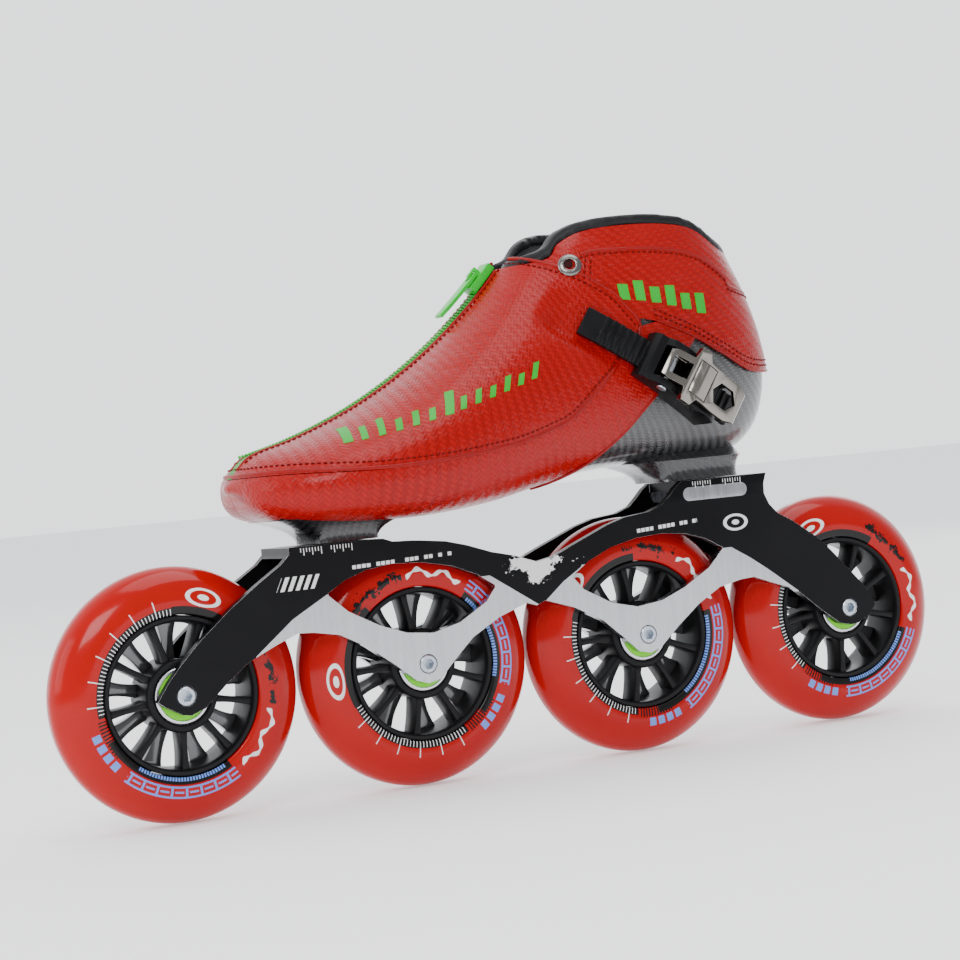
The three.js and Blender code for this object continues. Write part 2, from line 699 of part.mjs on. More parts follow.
// ---------------------------------------------------------------- mounting blocks
// A block with a flat foot on the deck, widening upward into the shell.
function block(foot, head) {
  const corners = [];
  for (const level of [foot, head]) {
    const { rear, front, middle, halfWidth, z, corner } = level;
    const right = middle - halfWidth;
    const left = middle + halfWidth;
    corners.push(
      [rear, right + corner, z], [rear + corner, right, z],
      [front - corner, right, z], [front, right + corner, z],
      [front, left - corner, z], [front - corner, left, z],
      [rear + corner, left, z], [rear, left - corner, z],
    );
  }
  const triangles = [];
  for (let k = 0; k < 8; k++) {
    const next = (k + 1) % 8;
    triangles.push(k, next, 8 + k, next, 8 + next, 8 + k);
    if (k > 0 && k < 7) triangles.push(0, k + 1, k, 8, 8 + k, 8 + k + 1);
  }
  const geometry = new THREE.BufferGeometry();
  geometry.setAttribute('position', new THREE.Float32BufferAttribute(corners.flat(), 3));
  geometry.setIndex(triangles);
  return facingOut(geometry);
}

const frontFootHeight = bootDeckHeight + gap;
const rearFootHeight = frontFootHeight + rearDeckRise;

// A mounting block, or the room round it when grown by a clearance.
function mountingBlock(foot, head, footHeight, grown = 0) {
  return block(
    {
      rear: foot.rear - bootPlace.x - grown, front: foot.front - bootPlace.x + grown,
      middle: -bootPlace.y, halfWidth: blockFootHalfWidth + grown, z: footHeight,
      corner: blockCorner.foot,
    },
    {
      rear: head.rear - grown, front: head.front + grown,
      middle: 0, halfWidth: head.halfWidth + grown, z: head.z, corner: blockCorner.head,
    },
  );
}

const insertRoom = [[frontBoltX, frontFootHeight], [rearBoltX, rearFootHeight]].map(([x, z]) =>
  rodZ(x - bootPlace.x, -bootPlace.y, insertRadius + gap, z - 1, z + insertLength + 2 * gap));

piece('boot_shell', cut(
  joined(
    wall.intersect(shellZone),
    mountingBlock(frontBlockFoot, frontBlockHead, frontFootHeight),
    mountingBlock(rearBlockFoot, rearBlockHead, rearFootHeight),
  ),
  layer.shellInner, ...insertRoom, rivetPath(rivetRadius + gap), strapRoom,
), carbon, bootGroup);

// ---------------------------------------------------------------- fastening
for (const [place, x, deckTop] of [['front', frontBoltX, frontDeckTop],
  ['rear', rearBoltX, rearDeckTop]]) {
  const under = deckTop - deckThickness - gap;
  const headTop = under - washerThickness - gap;
  const insertFoot = deckTop + 2 * gap;
  const insertTop = insertFoot + insertLength;
  const socketFloor = headTop - 2;
  const washer = box(x - washerHalfLength, x + washerHalfLength,
    -washerHalfWidth, washerHalfWidth, under - washerThickness, under);
  piece(`mount_washer_${place}`,
    washer.subtract(rodZ(x, 0, boltRadius + gap, headTop, deckTop)), zincSteel);
  const bolt = joined(
    rodZ(x, 0, boltRadius, headTop - 1, insertTop - boltEndRoom, 12),
    rodZ(x, 0, boltHeadRadius, headTop - boltHeadHeight, headTop, 18),
  );
  const socket = rodZ(x, 0, boltRadius, headTop - boltHeadHeight - 1, socketFloor, 6);
  piece(`mount_bolt_${place}`, bolt.subtract(socket), zincSteel);
  const bore = rodZ(x, 0, boltRadius + gap, insertFoot - 1, insertTop - insertRoof);
  piece(`mount_insert_${place}`,
    rodZ(x, 0, insertRadius, insertFoot, insertTop).subtract(bore), bearingSteel);
}

// ---------------------------------------------------------------- boot pieces
const soleOpening = box(-10, 110, -22, 22, 90, 118);
const frontBlockRoom = mountingBlock(frontBlockFoot, frontBlockHead, frontFootHeight, gap);
piece('toe_rand',
  cut(skin.intersect(randZone), soleOpening, frontBlockRoom, rivetPath(rivetRadius + gap), strapRoom),
  redLeather, bootGroup);

const zipZone = (halfGap) => box(-60, 150, -halfGap, halfGap, 100, 300);
const cover = cut(skin.intersect(coverZone).intersect(belowCollar),
  zipZone(zipHalfGap), strapRoom, eyeletRoom(1), eyeletRoom(-1));
const leftHalf = box(-150, 150, 0, wide, 90, 300);
const rightHalf = box(-150, 150, -wide, 0, 90, 300);
piece('zip_cover_left', cover.intersect(leftHalf), redLeather, bootGroup);
piece('zip_cover_right', cover.intersect(rightHalf), redLeather, bootGroup);
piece('zipper_tape',
  skin.intersect(coverZone).intersect(belowCollar).intersect(zipZone(zipHalfGap - gap)), greenZip,
  bootGroup);

piece('ankle_cuff', cut(
  skin.intersect(cuffZone).intersect(belowCollar), notch, strapRoom,
  eyeletHole(1), eyeletHole(-1),
), redLeather, bootGroup);

piece('inner_upper', cut(
  wall.intersect(upperZone).intersect(belowCollar), laceSlot, notch, strapRoom,
  eyeletHole(1), eyeletHole(-1),
), blackLeather, bootGroup);

const collarSolid = boot(skinOut + collarOutside).subtract(boot(linerIn - collarInside));
const collarBand = plate([
  ...lifted(collarLine, gap), ...lifted(collarLine, gap + collarHeight).reverse(),
], -wide, wide);
piece('collar_pad', collarSolid.intersect(collarBand).subtract(notch), blackLeather, bootGroup);

const tongueRoom = box(-40, 76, -tongueHalfWidth - gap, tongueHalfWidth + gap, 152, 300);
const tongueZone = box(-40, 76 - gap, -tongueHalfWidth, tongueHalfWidth, 152 + gap, 214);
piece('liner', cut(lining.intersect(belowCollar), tongueRoom, strapRoom), blackLining, bootGroup);
piece('tongue', lining.intersect(tongueZone), blackLeather, bootGroup);

const bedTop = [[140, 122], [60, 121.5], [20, 123.5], [-10, 129], [-50, 132.5], [-140, 132.5]];
const bedZone = plate([...bedTop, [-140, 90], [140, 90]], -wide, wide);
piece('footbed', layer.bed.intersect(bedZone), blackLining, bootGroup);

// ---------------------------------------------------------------- eyelets
function eyeletMatrix(side) {
  const { point, normal } = onSide(eyeletPlace.x, eyeletPlace.z, side);
  const turn = new THREE.Quaternion().setFromUnitVectors(new THREE.Vector3(0, 1, 0), normal);
  return new THREE.Matrix4().compose(point, turn, new THREE.Vector3(1, 1, 1));
}

function eyeletBoring(radius, side) {
  const geometry = new THREE.CylinderGeometry(radius, radius, 16, eyeletSides);
  return facingOut(geometry.applyMatrix4(eyeletMatrix(side)));
}

function eyeletHole(side) {
  return eyeletBoring(eyeletTube + gap, side);
}

function eyeletRoom(side) {
  return eyeletBoring(eyeletFlange + gap, side);
}

for (const [name, side] of [['eyelet_left', 1], ['eyelet_right', -1]]) {
  const flange = ringY([
    [eyeletFlange, skinOut], [eyeletFlange, skinOut + 1], [eyeletFlange - 1, skinOut + 1.6],
    [eyeletBore, skinOut + 1.6], [eyeletBore, skinOut],
  ], eyeletSides);
  const sleeve = tube(eyeletBore, eyeletTube, -shellWall, skinOut + 1, eyeletSides);
  const seatedFlange = facingOut(flange.applyMatrix4(eyeletMatrix(side)))
    .subtract(boot(skinOut + gap));
  const whole = seatedFlange.add(facingOut(sleeve.applyMatrix4(eyeletMatrix(side))));
  piece(name, whole.subtract(boot(-shellWall + gap)), nickel, bootGroup);
}

// ---------------------------------------------------------------- zipper slider and pull
// A block that follows the zip's arc: angles in degrees, heights out from the tape.
function arcBlock(fromAngle, toAngle, low, high, halfWidth) {
  const steps = 3;
  const at = (angle, height) => {
    const a = THREE.MathUtils.degToRad(angle);
    const r = zipRadius - height;
    return [zipCentre.x + r * Math.cos(a), zipCentre.z + r * Math.sin(a)];
  };
  const stops = Array.from({ length: steps + 1 },
    (_, i) => fromAngle + ((toAngle - fromAngle) * i) / steps);
  const outline = [
    ...stops.map((a) => at(a, low)), ...stops.map((a) => at(a, high)).reverse()];
  return plate(outline, -halfWidth, halfWidth);
}

const arcDegrees = (length) => THREE.MathUtils.radToDeg(length / zipRadius);
const sliderHalf = arcDegrees(sliderLength) / 2;
const bridgeHeight = sliderLift + sliderHeight + 3;
const bridgeHalf = arcDegrees(2.6);
const pivotHeight = sliderLift + sliderHeight + 1.2;
const pivotAngle = THREE.MathUtils.degToRad(sliderAngle);
const pullPivot = {
  x: zipCentre.x + (zipRadius - pivotHeight) * Math.cos(pivotAngle),
  z: zipCentre.z + (zipRadius - pivotHeight) * Math.sin(pivotAngle),
};
piece('zip_slider', cut(
  joined(
    arcBlock(sliderAngle - sliderHalf, sliderAngle + sliderHalf, sliderLift,
      sliderLift + sliderHeight, sliderHalfWidth),
    arcBlock(sliderAngle - bridgeHalf, sliderAngle + bridgeHalf, sliderLift + 1, bridgeHeight, 1.1),
  ),
  rodY(pullPivot.x, pullPivot.z, pullBarRadius + gap, -3, 3, 12),
), greenZip, bootGroup);

const armStart = sliderAngle + bridgeHalf * 0.2;
const armEnd = sliderAngle + bridgeHalf + arcDegrees(2);
const pullFoot = pivotHeight - pullThickness / 2;
const pullHead = pivotHeight + pullThickness / 2;
const pullEnd = sliderAngle + arcDegrees(pullLength);
const arms = arcBlock(armStart, armEnd + 0.1, pullFoot, pullHead, pullHalfWidth)
  .subtract(box(-50, 50, -1.1 - gap, 1.1 + gap, 150, 300)
    .intersect(arcBlock(sliderAngle - 2, armEnd, 0, 12, 5)));
piece('zip_pull', joined(
  rodY(pullPivot.x, pullPivot.z, pullBarRadius, -pullHalfWidth, pullHalfWidth, 12),
  arms,
  arcBlock(armEnd, pullEnd, pullFoot, pullHead, pullHalfWidth),
), greenZip, bootGroup);

// ---------------------------------------------------------------- buckle
const ear = baseHalfWidth - baseEar;
const strapTop = strapThickness / 2 + strapTooth;
const baseSide = [
  [-15, -14], [-15, 3.2], [-13, 5.6], [-9.7, 5.8], [-7.5, 8.7], [-1, 8.9], [5, 7.4], [16, 6.2],
  [22, 6], [26, 2.5], [26, -14],
];
const floorTop = -strapThickness / 2 - gap;
const channel = buckleBar([
  [-9.6, strapTop + gap], [-9.6, 12], [40, 12], [40, floorTop - 2], [20, floorTop],
  [-9.6, floorTop],
], -ear, ear);
const base = cut(
  buckleBar(baseSide, -baseHalfWidth, baseHalfWidth),
  channel, strapRoom,
  layer.skinOuter.intersect(randZone), boot(skinOut + gap).intersect(randZone),
  boot(gap),
  buckleRod(leverPin, leverPinRadius + gap, -12, 12),
  buckleRod(pawlPivot, pawlPivotRadius + gap, -12, 12),
  rivetPath(rivetRadius + gap),
);
piece('buckle_base', base, blackPlastic, bootGroup);

piece('base_rivet',
  rivetPath(rivetRadius).subtract(boot(-shellWall)), zincSteel, bootGroup);

const leverSide = [
  [-8, 6], [-8, 9.2], [-6, 10.4], [3, 13], [10, 12.2], [20, 9.2], [32, 7.4], [33, 6], [31, 5.2],
  [20, 7.2], [9, 9.6], [2, 9.4], [-1.5, 5], [-4, 4.6], [-6.5, 4.8],
];
const halfPlan = [
  [-8.2, 5.6], [-5, 6.6], [2, 6.6], [3.2, 12.2], [8, 12.2], [10, 8.6], [14, 8.4], [18, 8.6],
  [27, 8.6], [33.2, 6.6],
];
const leverPlan = [...halfPlan, ...halfPlan.map(([s, v]) => [s, -v]).reverse()];
const frontWindow = [[-6, -3.8], [0.5, -3.8], [2, 0], [0.5, 3.8], [-6, 3.8]];
const tailWindow = [[16, 0], [19, -4.6], [26, -4.6], [29.5, 0], [26, 4.6], [19, 4.6]];
piece('buckle_lever', cut(
  buckleBar(leverSide, -13, 13).intersect(bucklePlan(leverPlan, 0, 16)),
  bucklePlan(frontWindow, 6 + leverPinRadius + 1.5, 16),
  bucklePlan(tailWindow, 0, 16),
  buckleRod(leverPin, leverPinRadius + gap, -13, 13),
), gunmetal, bootGroup);

piece('lever_pin', joined(
  buckleRod(leverPin, leverPinRadius, -baseHalfWidth - 2 * gap, baseHalfWidth + gap),
  buckleRod(leverPin, leverPinHeadRadius, -baseHalfWidth - 1.1, -baseHalfWidth - gap),
), zincSteel, bootGroup);

const pawlSide = [
  [20.6, 3.2], [20.6, 5.6], [17, 5.8], [11, 4.6], [10.2, strapTop + gap], [12.6, strapTop + gap],
  [15, 3],
];
piece('buckle_pawl', joined(
  buckleBar(pawlSide, -ear + gap, ear - gap),
  buckleRod(pawlPivot, pawlPivotRadius, -baseHalfWidth + 0.6, baseHalfWidth - 0.6),
), blackPlastic, bootGroup);

// The strap's teeth are cut straight across its outer face.
function toothedStrap() {
  const under = arcPoints(strapFront, strapTail, 10, -strapThickness / 2);
  const over = [strapPoint(strapTail, strapThickness / 2)];
  for (let s = strapTail - 3; s > strapFront + 8; s -= strapToothPitch) {
    over.push(
      strapPoint(s, strapThickness / 2), strapPoint(s - 0.3, strapThickness / 2 + strapTooth),
      strapPoint(s - 1.5, strapThickness / 2 + strapTooth), strapPoint(s - 1.8, strapThickness / 2),
    );
  }
  over.push(strapPoint(strapFront, strapThickness / 2));
  return buckleBar([...under, ...over], -strapHalfWidth, strapHalfWidth);
}

piece('ladder_strap', toothedStrap(), blackPlastic, bootGroup);

export default skate;
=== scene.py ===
import json
import math

import bpy
import numpy as np
from mathutils import Matrix, Vector


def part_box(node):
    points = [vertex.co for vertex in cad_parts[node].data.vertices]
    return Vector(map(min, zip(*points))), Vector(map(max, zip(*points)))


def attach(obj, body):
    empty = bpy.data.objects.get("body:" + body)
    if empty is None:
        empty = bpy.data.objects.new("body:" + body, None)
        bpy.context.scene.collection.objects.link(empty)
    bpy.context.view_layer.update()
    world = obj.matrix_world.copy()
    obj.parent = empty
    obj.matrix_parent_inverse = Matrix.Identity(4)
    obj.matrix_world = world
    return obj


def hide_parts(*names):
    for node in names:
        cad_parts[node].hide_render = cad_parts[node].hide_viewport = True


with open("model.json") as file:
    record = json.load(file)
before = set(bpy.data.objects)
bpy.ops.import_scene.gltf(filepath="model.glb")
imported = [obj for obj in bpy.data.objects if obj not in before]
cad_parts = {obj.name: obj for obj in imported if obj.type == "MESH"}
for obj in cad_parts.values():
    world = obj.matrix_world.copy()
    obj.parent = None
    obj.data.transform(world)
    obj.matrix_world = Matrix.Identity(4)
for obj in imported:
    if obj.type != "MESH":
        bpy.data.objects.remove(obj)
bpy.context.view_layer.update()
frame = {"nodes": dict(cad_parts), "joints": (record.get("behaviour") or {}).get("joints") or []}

MM = 0.001
# the room left between neighbouring pieces, in millimetres
GAP = 0.3
joints = {joint["name"]: joint for joint in frame["joints"]}


# ---------------------------------------------------------------- places taken from the frame
def low(node):
    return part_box(node)[0]


def high(node):
    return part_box(node)[1]


# The boot is drawn in millimetres over its own middle plane. The zip's joint says where that lies.
ZIP_CENTRE = (164, 357)
ZIP_RADIUS = 222.4
boot_origin = np.array(joints["zip_run"]["pos_m"]) - np.array((ZIP_CENTRE[0], 0, ZIP_CENTRE[1])) * MM
# The shell's outer face is the last. Other layers' faces lie so many millimetres out from it.
SHELL_WALL = 2
SKIN_OUT = 1.9
LINER_OUT = -2.3
LINER_IN = -5.3
# how far each wheel is turned, in degrees, which puts its print where it lies
WHEEL_TURNS = {"front": 0, "second": 112, "third": 72, "rear": 38}
AXLE_HEIGHT = joints["front_wheel_spin"]["pos_m"][2]
FRONT_DECK = low("mount_insert_front").z - 2 * GAP * MM
REAR_DECK = high("frame").z
FRAME_HALF_WIDTH = high("frame").y


# ---------------------------------------------------------------- camera, floor and lights
CAMERA_LENS = 85.6
CAMERA_SENSOR = 36
CAMERA_FAR = 20
CAMERA_PLACE = (0.418206, 0.859390, 0.123883)
CAMERA_RIGHT = Vector((-0.90005447, 0.42507204, -0.09599847))
CAMERA_UP = Vector((-0.08781674, 0.0388522, 0.99537869))
LIGHT_TARGET = Vector((0, 0, 0.1))
LIGHTS = (
    ("key", (1.0, 1.3, 1.3), (0.9, 0.7), 17),
    ("side", (1.7, 0.1, 0.7), (0.8, 1.0), 6),
    ("top", (-0.2, 0.3, 1.6), (1.2, 0.9), 11),
    ("back", (-1.3, -1.2, 1.0), (1.2, 0.9), 6),
)
WORLD_COLOUR = (0.95, 0.965, 1, 1)
WORLD_RAMP = (("From Min", -0.35), ("From Max", 0.3), ("To Min", 2.0), ("To Max", 0.6))
FLOOR_SIZE = 30
FLOOR_HEIGHT = -0.4 * MM


def make_camera():
    data = bpy.data.cameras.new("camera")
    data.lens = CAMERA_LENS
    data.sensor_width = CAMERA_SENSOR
    data.clip_end = CAMERA_FAR
    camera = bpy.data.objects.new("camera", data)
    bpy.context.scene.collection.objects.link(camera)
    turn = Matrix((CAMERA_RIGHT, CAMERA_UP, CAMERA_RIGHT.cross(CAMERA_UP))).transposed()
    camera.matrix_world = Matrix.Translation(CAMERA_PLACE) @ turn.to_4x4()
    bpy.context.scene.camera = camera


def make_light(name, place, size, power):
    data = bpy.data.lights.new(name, "AREA")
    data.shape = "RECTANGLE"
    data.size, data.size_y = size
    data.energy = power
    light = bpy.data.objects.new(name, data)
    bpy.context.scene.collection.objects.link(light)
    light.location = place
    light.rotation_euler = (LIGHT_TARGET - Vector(place)).to_track_quat("-Z", "Y").to_euler()


def make_studio():
    world = bpy.data.worlds.new("studio")
    bpy.context.scene.world = world
    world.use_nodes = True
    tree = world.node_tree
    background = tree.nodes["Background"]
    background.inputs["Color"].default_value = WORLD_COLOUR
    # a white wall behind the skate and a dimmer room behind the camera
    where = tree.nodes.new("ShaderNodeTexCoord")
    parts = tree.nodes.new("ShaderNodeSeparateXYZ")
    ramp = tree.nodes.new("ShaderNodeMapRange")
    tree.links.new(where.outputs["Generated"], parts.inputs[0])
    tree.links.new(parts.outputs[1], ramp.inputs["Value"])
    for name, value in WORLD_RAMP:
        ramp.inputs[name].default_value = value
    tree.links.new(ramp.outputs[0], background.inputs["Strength"])
    bpy.ops.mesh.primitive_plane_add(size=FLOOR_SIZE, location=(0, 0, FLOOR_HEIGHT))
    floor = bpy.context.object
    floor.name = "floor"
    paint = Paint("floor_white", Roughness=0.9, Specular_IOR_Level=0.2)
    paint.set("Base Color", (0.9, 0.905, 0.91, 1))
    paint.set("Emission Color", (0.96, 0.97, 1, 1))
    paint.set("Emission Strength", 0.4)
    floor.data.materials.append(paint.material)
    for light in LIGHTS:
        make_light(*light)


# ---------------------------------------------------------------- materials
class Number:
    """A number in a material's nodes, for use in sums."""

    def __init__(self, paint, socket):
        self.paint = paint
        self.socket = socket

    def math(self, operation, *others):
        values = dict(enumerate((self, *others)))
        return self.paint.add("ShaderNodeMath", {"operation": operation}, values)

    def __add__(self, other):
        return self.math("ADD", other)

    def __sub__(self, other):
        return self.math("SUBTRACT", other)

    def __mul__(self, other):
        return self.math("MULTIPLY", other)

    def __truediv__(self, other):
        return self.math("DIVIDE", other)

    def __neg__(self):
        return self * -1

    def __rsub__(self, other):
        return -self + other

    def __lt__(self, other):
        return self.math("LESS_THAN", other)

    def __gt__(self, other):
        return self.math("GREATER_THAN", other)

    def __abs__(self):
        return self.math("ABSOLUTE")

    def fract(self):
        return self.math("FRACT")

    __radd__ = __add__
    __rmul__ = __mul__


class Paint:
    """One material: a Principled shader and the nodes that feed it."""

    def __init__(self, name, **constants):
        self.material = bpy.data.materials.new(name)
        self.material.use_nodes = True
        self.tree = self.material.node_tree
        self.shader = self.tree.nodes["Principled BSDF"]
        for key, value in constants.items():
            self.shader.inputs[key.replace("_", " ")].default_value = value
        self.place_node = None

    def add(self, kind, settings=None, values=None, output=0):
        node = self.tree.nodes.new(kind)
        for key, value in (settings or {}).items():
            setattr(node, key, value)
        for key, value in (values or {}).items():
            self.feed(node.inputs[key], value)
        return Number(self, node.outputs[output])

    def feed(self, socket, value):
        if isinstance(value, Number):
            self.tree.links.new(value.socket, socket)
        else:
            socket.default_value = value

    def set(self, name, value):
        self.feed(self.shader.inputs[name], value)

    def place(self):
        """The point's x, y and z in the row frame, in metres."""
        if self.place_node is None:
            where = self.add("ShaderNodeTexCoord", output=3)
            node = self.add("ShaderNodeSeparateXYZ", None, {0: where}).socket.node
            self.place_node = [Number(self, node.outputs[i]) for i in range(3)]
        return self.place_node

    def cloth(self):
        """The point's place on the unrolled surface, in metres along and across."""
        where = self.add("ShaderNodeUVMap", {"uv_map": "cloth"})
        node = self.add("ShaderNodeSeparateXYZ", None, {0: where}).socket.node
        return Number(self, node.outputs[0]), Number(self, node.outputs[1])

    def noise(self, scale, detail=3, roughness=0.5, stretch=(1, 1, 1)):
        where = self.add("ShaderNodeTexCoord", output=3)
        moved = self.add("ShaderNodeMapping", None, {0: where, "Scale": stretch})
        values = {"Vector": moved, "Scale": scale, "Detail": detail, "Roughness": roughness}
        return self.add("ShaderNodeTexNoise", None, values)

    def range(self, value, start, end, to_start=0, to_end=1):
        values = {0: value, 1: start, 2: end, 3: to_start, 4: to_end}
        return self.add("ShaderNodeMapRange", None, values)

    def colour(self, factor, first, second):
        settings = {"data_type": "RGBA"}
        return self.add("ShaderNodeMix", settings, {0: factor, 6: first, 7: second}, output=2)

    def number(self, factor, first, second):
        return self.add("ShaderNodeMix", None, {0: factor, 2: first, 3: second})

    def bump(self, height, distance, strength=1, under=None):
        values = {"Height": height, "Distance": distance, "Strength": strength}
        if under is not None:
            values["Normal"] = under
        return self.add("ShaderNodeBump", None, values)


def both(*masks):
    result = masks[0]
    for mask in masks[1:]:
        result = result * mask
    return result


def either(first, second):
    return first.math("MAXIMUM", second)


def within(value, start, end):
    return both(value > start, value < end)


def hypotenuse(a, b):
    return (a * a + b * b).math("SQRT")


def twill(paint, tow):
    """A two-by-two twill: its height, and which way the top thread runs."""
    along, across = paint.cloth()
    a = (along + across * 0.85) / (tow * 1.31)
    b = (along * 0.85 - across) / (tow * 1.31)
    over = (a.math("FLOOR") + b.math("FLOOR")).math("FLOORED_MODULO", 4) < 1.5
    warp = (a.fract() * math.pi).math("SINE")
    weft = (b.fract() * math.pi).math("SINE")
    height = over * warp + (1 - over) * weft
    return height, over


def red_leather():
    paint = Paint("red_leather", Coat_Roughness=0.14, Specular_IOR_Level=0.16)
    height, over = twill(paint, 1.7 * MM)
    cloud = paint.noise(38, 4)
    wrinkle = paint.noise(70, 3, 0.6, (1, 1, 3.2))
    deep = paint.colour(cloud, (0.24, 0.0, 0.0, 1), (0.40, 0.001, 0.0005, 1))
    # Painted sheen: the tows that lie on top get one set tone against the cloudy red, in place of the
    # twill's changing highlight.
    raised = paint.colour(over, deep, (0.36, 0.0008, 0.0004, 1))
    # Painted shade: the weave's low places between the tows are darkened toward a dark red.
    weave_shade = paint.colour(paint.range(height, 0.1, 0.6, 0.4, 0), raised, (0.12, 0.0, 0.0, 1))
    paint.set("Base Color", weave_shade)
    paint.set("Roughness", paint.range(cloud, 0.3, 0.7, 0.2, 0.3) + over * 0.05)
    paint.set("Coat Weight", 0.16)
    first = paint.bump(wrinkle, 1.3 * MM, 0.6)
    paint.set("Normal", paint.bump(height, 0.2 * MM, 0.6, first))
    return paint.material


def plain_red_leather():
    paint = Paint("red_edge", Coat_Weight=0.1, Coat_Roughness=0.25, Specular_IOR_Level=0.2)
    cloud = paint.noise(160, 4)
    paint.set("Base Color", paint.colour(cloud, (0.20, 0.0, 0.0, 1), (0.32, 0.0006, 0.0004, 1)))
    paint.set("Roughness", paint.range(cloud, 0.3, 0.7, 0.3, 0.45))
    paint.set("Normal", paint.bump(paint.noise(900, 2), 0.1 * MM, 0.4))
    return paint.material


def carbon(name, dark, pale, rough):
    paint = Paint(name, Coat_Weight=0.8, Coat_Roughness=0.12)
    height, over = twill(paint, 1.2 * MM)
    cloud = paint.noise(30, 3)
    tone = paint.colour(over, dark, pale)
    shade = paint.colour(paint.range(height, 0, 0.5, 0.6, 0), tone, (0.004, 0.004, 0.005, 1))
    paint.set("Base Color", shade)
    paint.set("Roughness", paint.range(cloud, 0.3, 0.7, rough, rough + 0.12))
    paint.set("Normal", paint.bump(height, 0.16 * MM, 0.7))
    return paint.material


def grained(name, dark, pale, rough, grain, depth, coat=0.0, metal=0.0):
    """A plain finish with fine grain and a little cloudiness."""
    paint = Paint(name, Coat_Weight=coat, Coat_Roughness=0.15, Metallic=metal,
                  Specular_IOR_Level=0.16 + 0.34 * metal)
    cloud = paint.noise(90, 4)
    paint.set("Base Color", paint.colour(cloud, (*dark, 1), (*pale, 1)))
    paint.set("Roughness", paint.range(cloud, 0.3, 0.7, rough - 0.05, rough + 0.07))
    paint.set("Normal", paint.bump(paint.noise(grain, 3), depth * MM, 0.35))
    return paint.material


def knitted(name, dark, pale):
    paint = Paint(name, Sheen_Weight=0.4, Sheen_Roughness=0.5)
    height, _ = twill(paint, 0.8 * MM)
    cloud = paint.noise(60, 4)
    tone = paint.colour(cloud, (*dark, 1), (*pale, 1))
    # Painted shade: the low places between the yarns are darkened toward black.
    yarn_gap_shade = paint.range(height, 0, 0.6, 0.7, 0)
    paint.set("Base Color", paint.colour(yarn_gap_shade, tone, (0.003, 0.003, 0.003, 1)))
    paint.set("Roughness", paint.range(cloud, 0, 1, 0.82, 0.95))
    paint.set("Normal", paint.bump(height, 0.25 * MM, 0.8))
    return paint.material


def machined(name, colour, rough, direction):
    """Bare metal with the fine lines of a cutter."""
    paint = Paint(name, Metallic=1.0)
    lines = paint.noise(500, 2, 0.5, direction)
    cloud = paint.noise(40, 3)
    pale = tuple(min(1, c * 1.12) for c in colour)
    paint.set("Base Color", paint.colour(lines, (*colour, 1), (*pale, 1)))
    paint.set("Roughness", paint.range(lines, 0.3, 0.7, rough, rough + 0.12) + cloud * 0.08)
    paint.set("Normal", paint.bump(lines, 0.03 * MM, 0.4))
    return paint.material


def glossy_nylon():
    """The polished webs behind the spokes, which mirror the pale ground."""
    paint = Paint("glossy_nylon", Coat_Weight=1.0, Coat_Roughness=0.06, Metallic=0.35)
    cloud = paint.noise(45, 3)
    paint.set("Base Color", paint.colour(cloud, (0.05, 0.05, 0.053, 1), (0.16, 0.16, 0.165, 1)))
    paint.set("Roughness", paint.range(cloud, 0.3, 0.7, 0.1, 0.2))
    return paint.material


# side-view lines in millimetres with bare metal below them: front arm, front tip, rear arm, rear tip
BARE_ARMS = (
    ((123.5, 61.6), (106.9, 74.4), (88, 84.5)),
    ((88, 200), (22, 83.8), (-2, 67.6)),
    ((-88, 86.3), (-96, 82.2), (-104.5, 77.1), (-113, 71.2), (-127.5, 60.2)),
    ((-2, 67.6), (-13.2, 76.4), (-22, 81.6), (-88, 200)),
)
# a deck's rulers: how many ticks, how far apart, how far below the deck, how tall, and how often long
RULER_TICKS = 7
RULER_PITCH = 1.25
RULER_DROP = 0.7
RULER_HEIGHT = 1.6
RULER_LONG = 3


def line_under(x, z, points):
    """1 below the broken line through the points, and 0 above it and past its ends."""
    result = None
    for (x0, z0), (x1, z1) in zip(points, points[1:]):
        slope = (z1 - z0) / (x1 - x0)
        below = z < (x - x0 * MM) * slope + z0 * MM
        stretch = within(x, min(x0, x1) * MM, max(x0, x1) * MM)
        result = below * stretch if result is None else result + below * stretch
    return result


def tick_row(x, z, start, deck):
    """The ticks of one ruler that hangs below a deck."""
    base = deck / MM - RULER_DROP
    step = (x - start * MM) / (RULER_PITCH * MM)
    line = abs(step.fract() - 0.5) > 0.36
    number = (step + 0.5).math("FLOOR")
    is_long = number.math("FLOORED_MODULO", RULER_LONG) < 0.5
    reach = is_long * (0.8 * RULER_HEIGHT * MM) + RULER_HEIGHT * MM
    inside = within(step, -0.5, RULER_TICKS + 0.5)
    return both(line, inside, z < base * MM, z > (base * MM - reach))


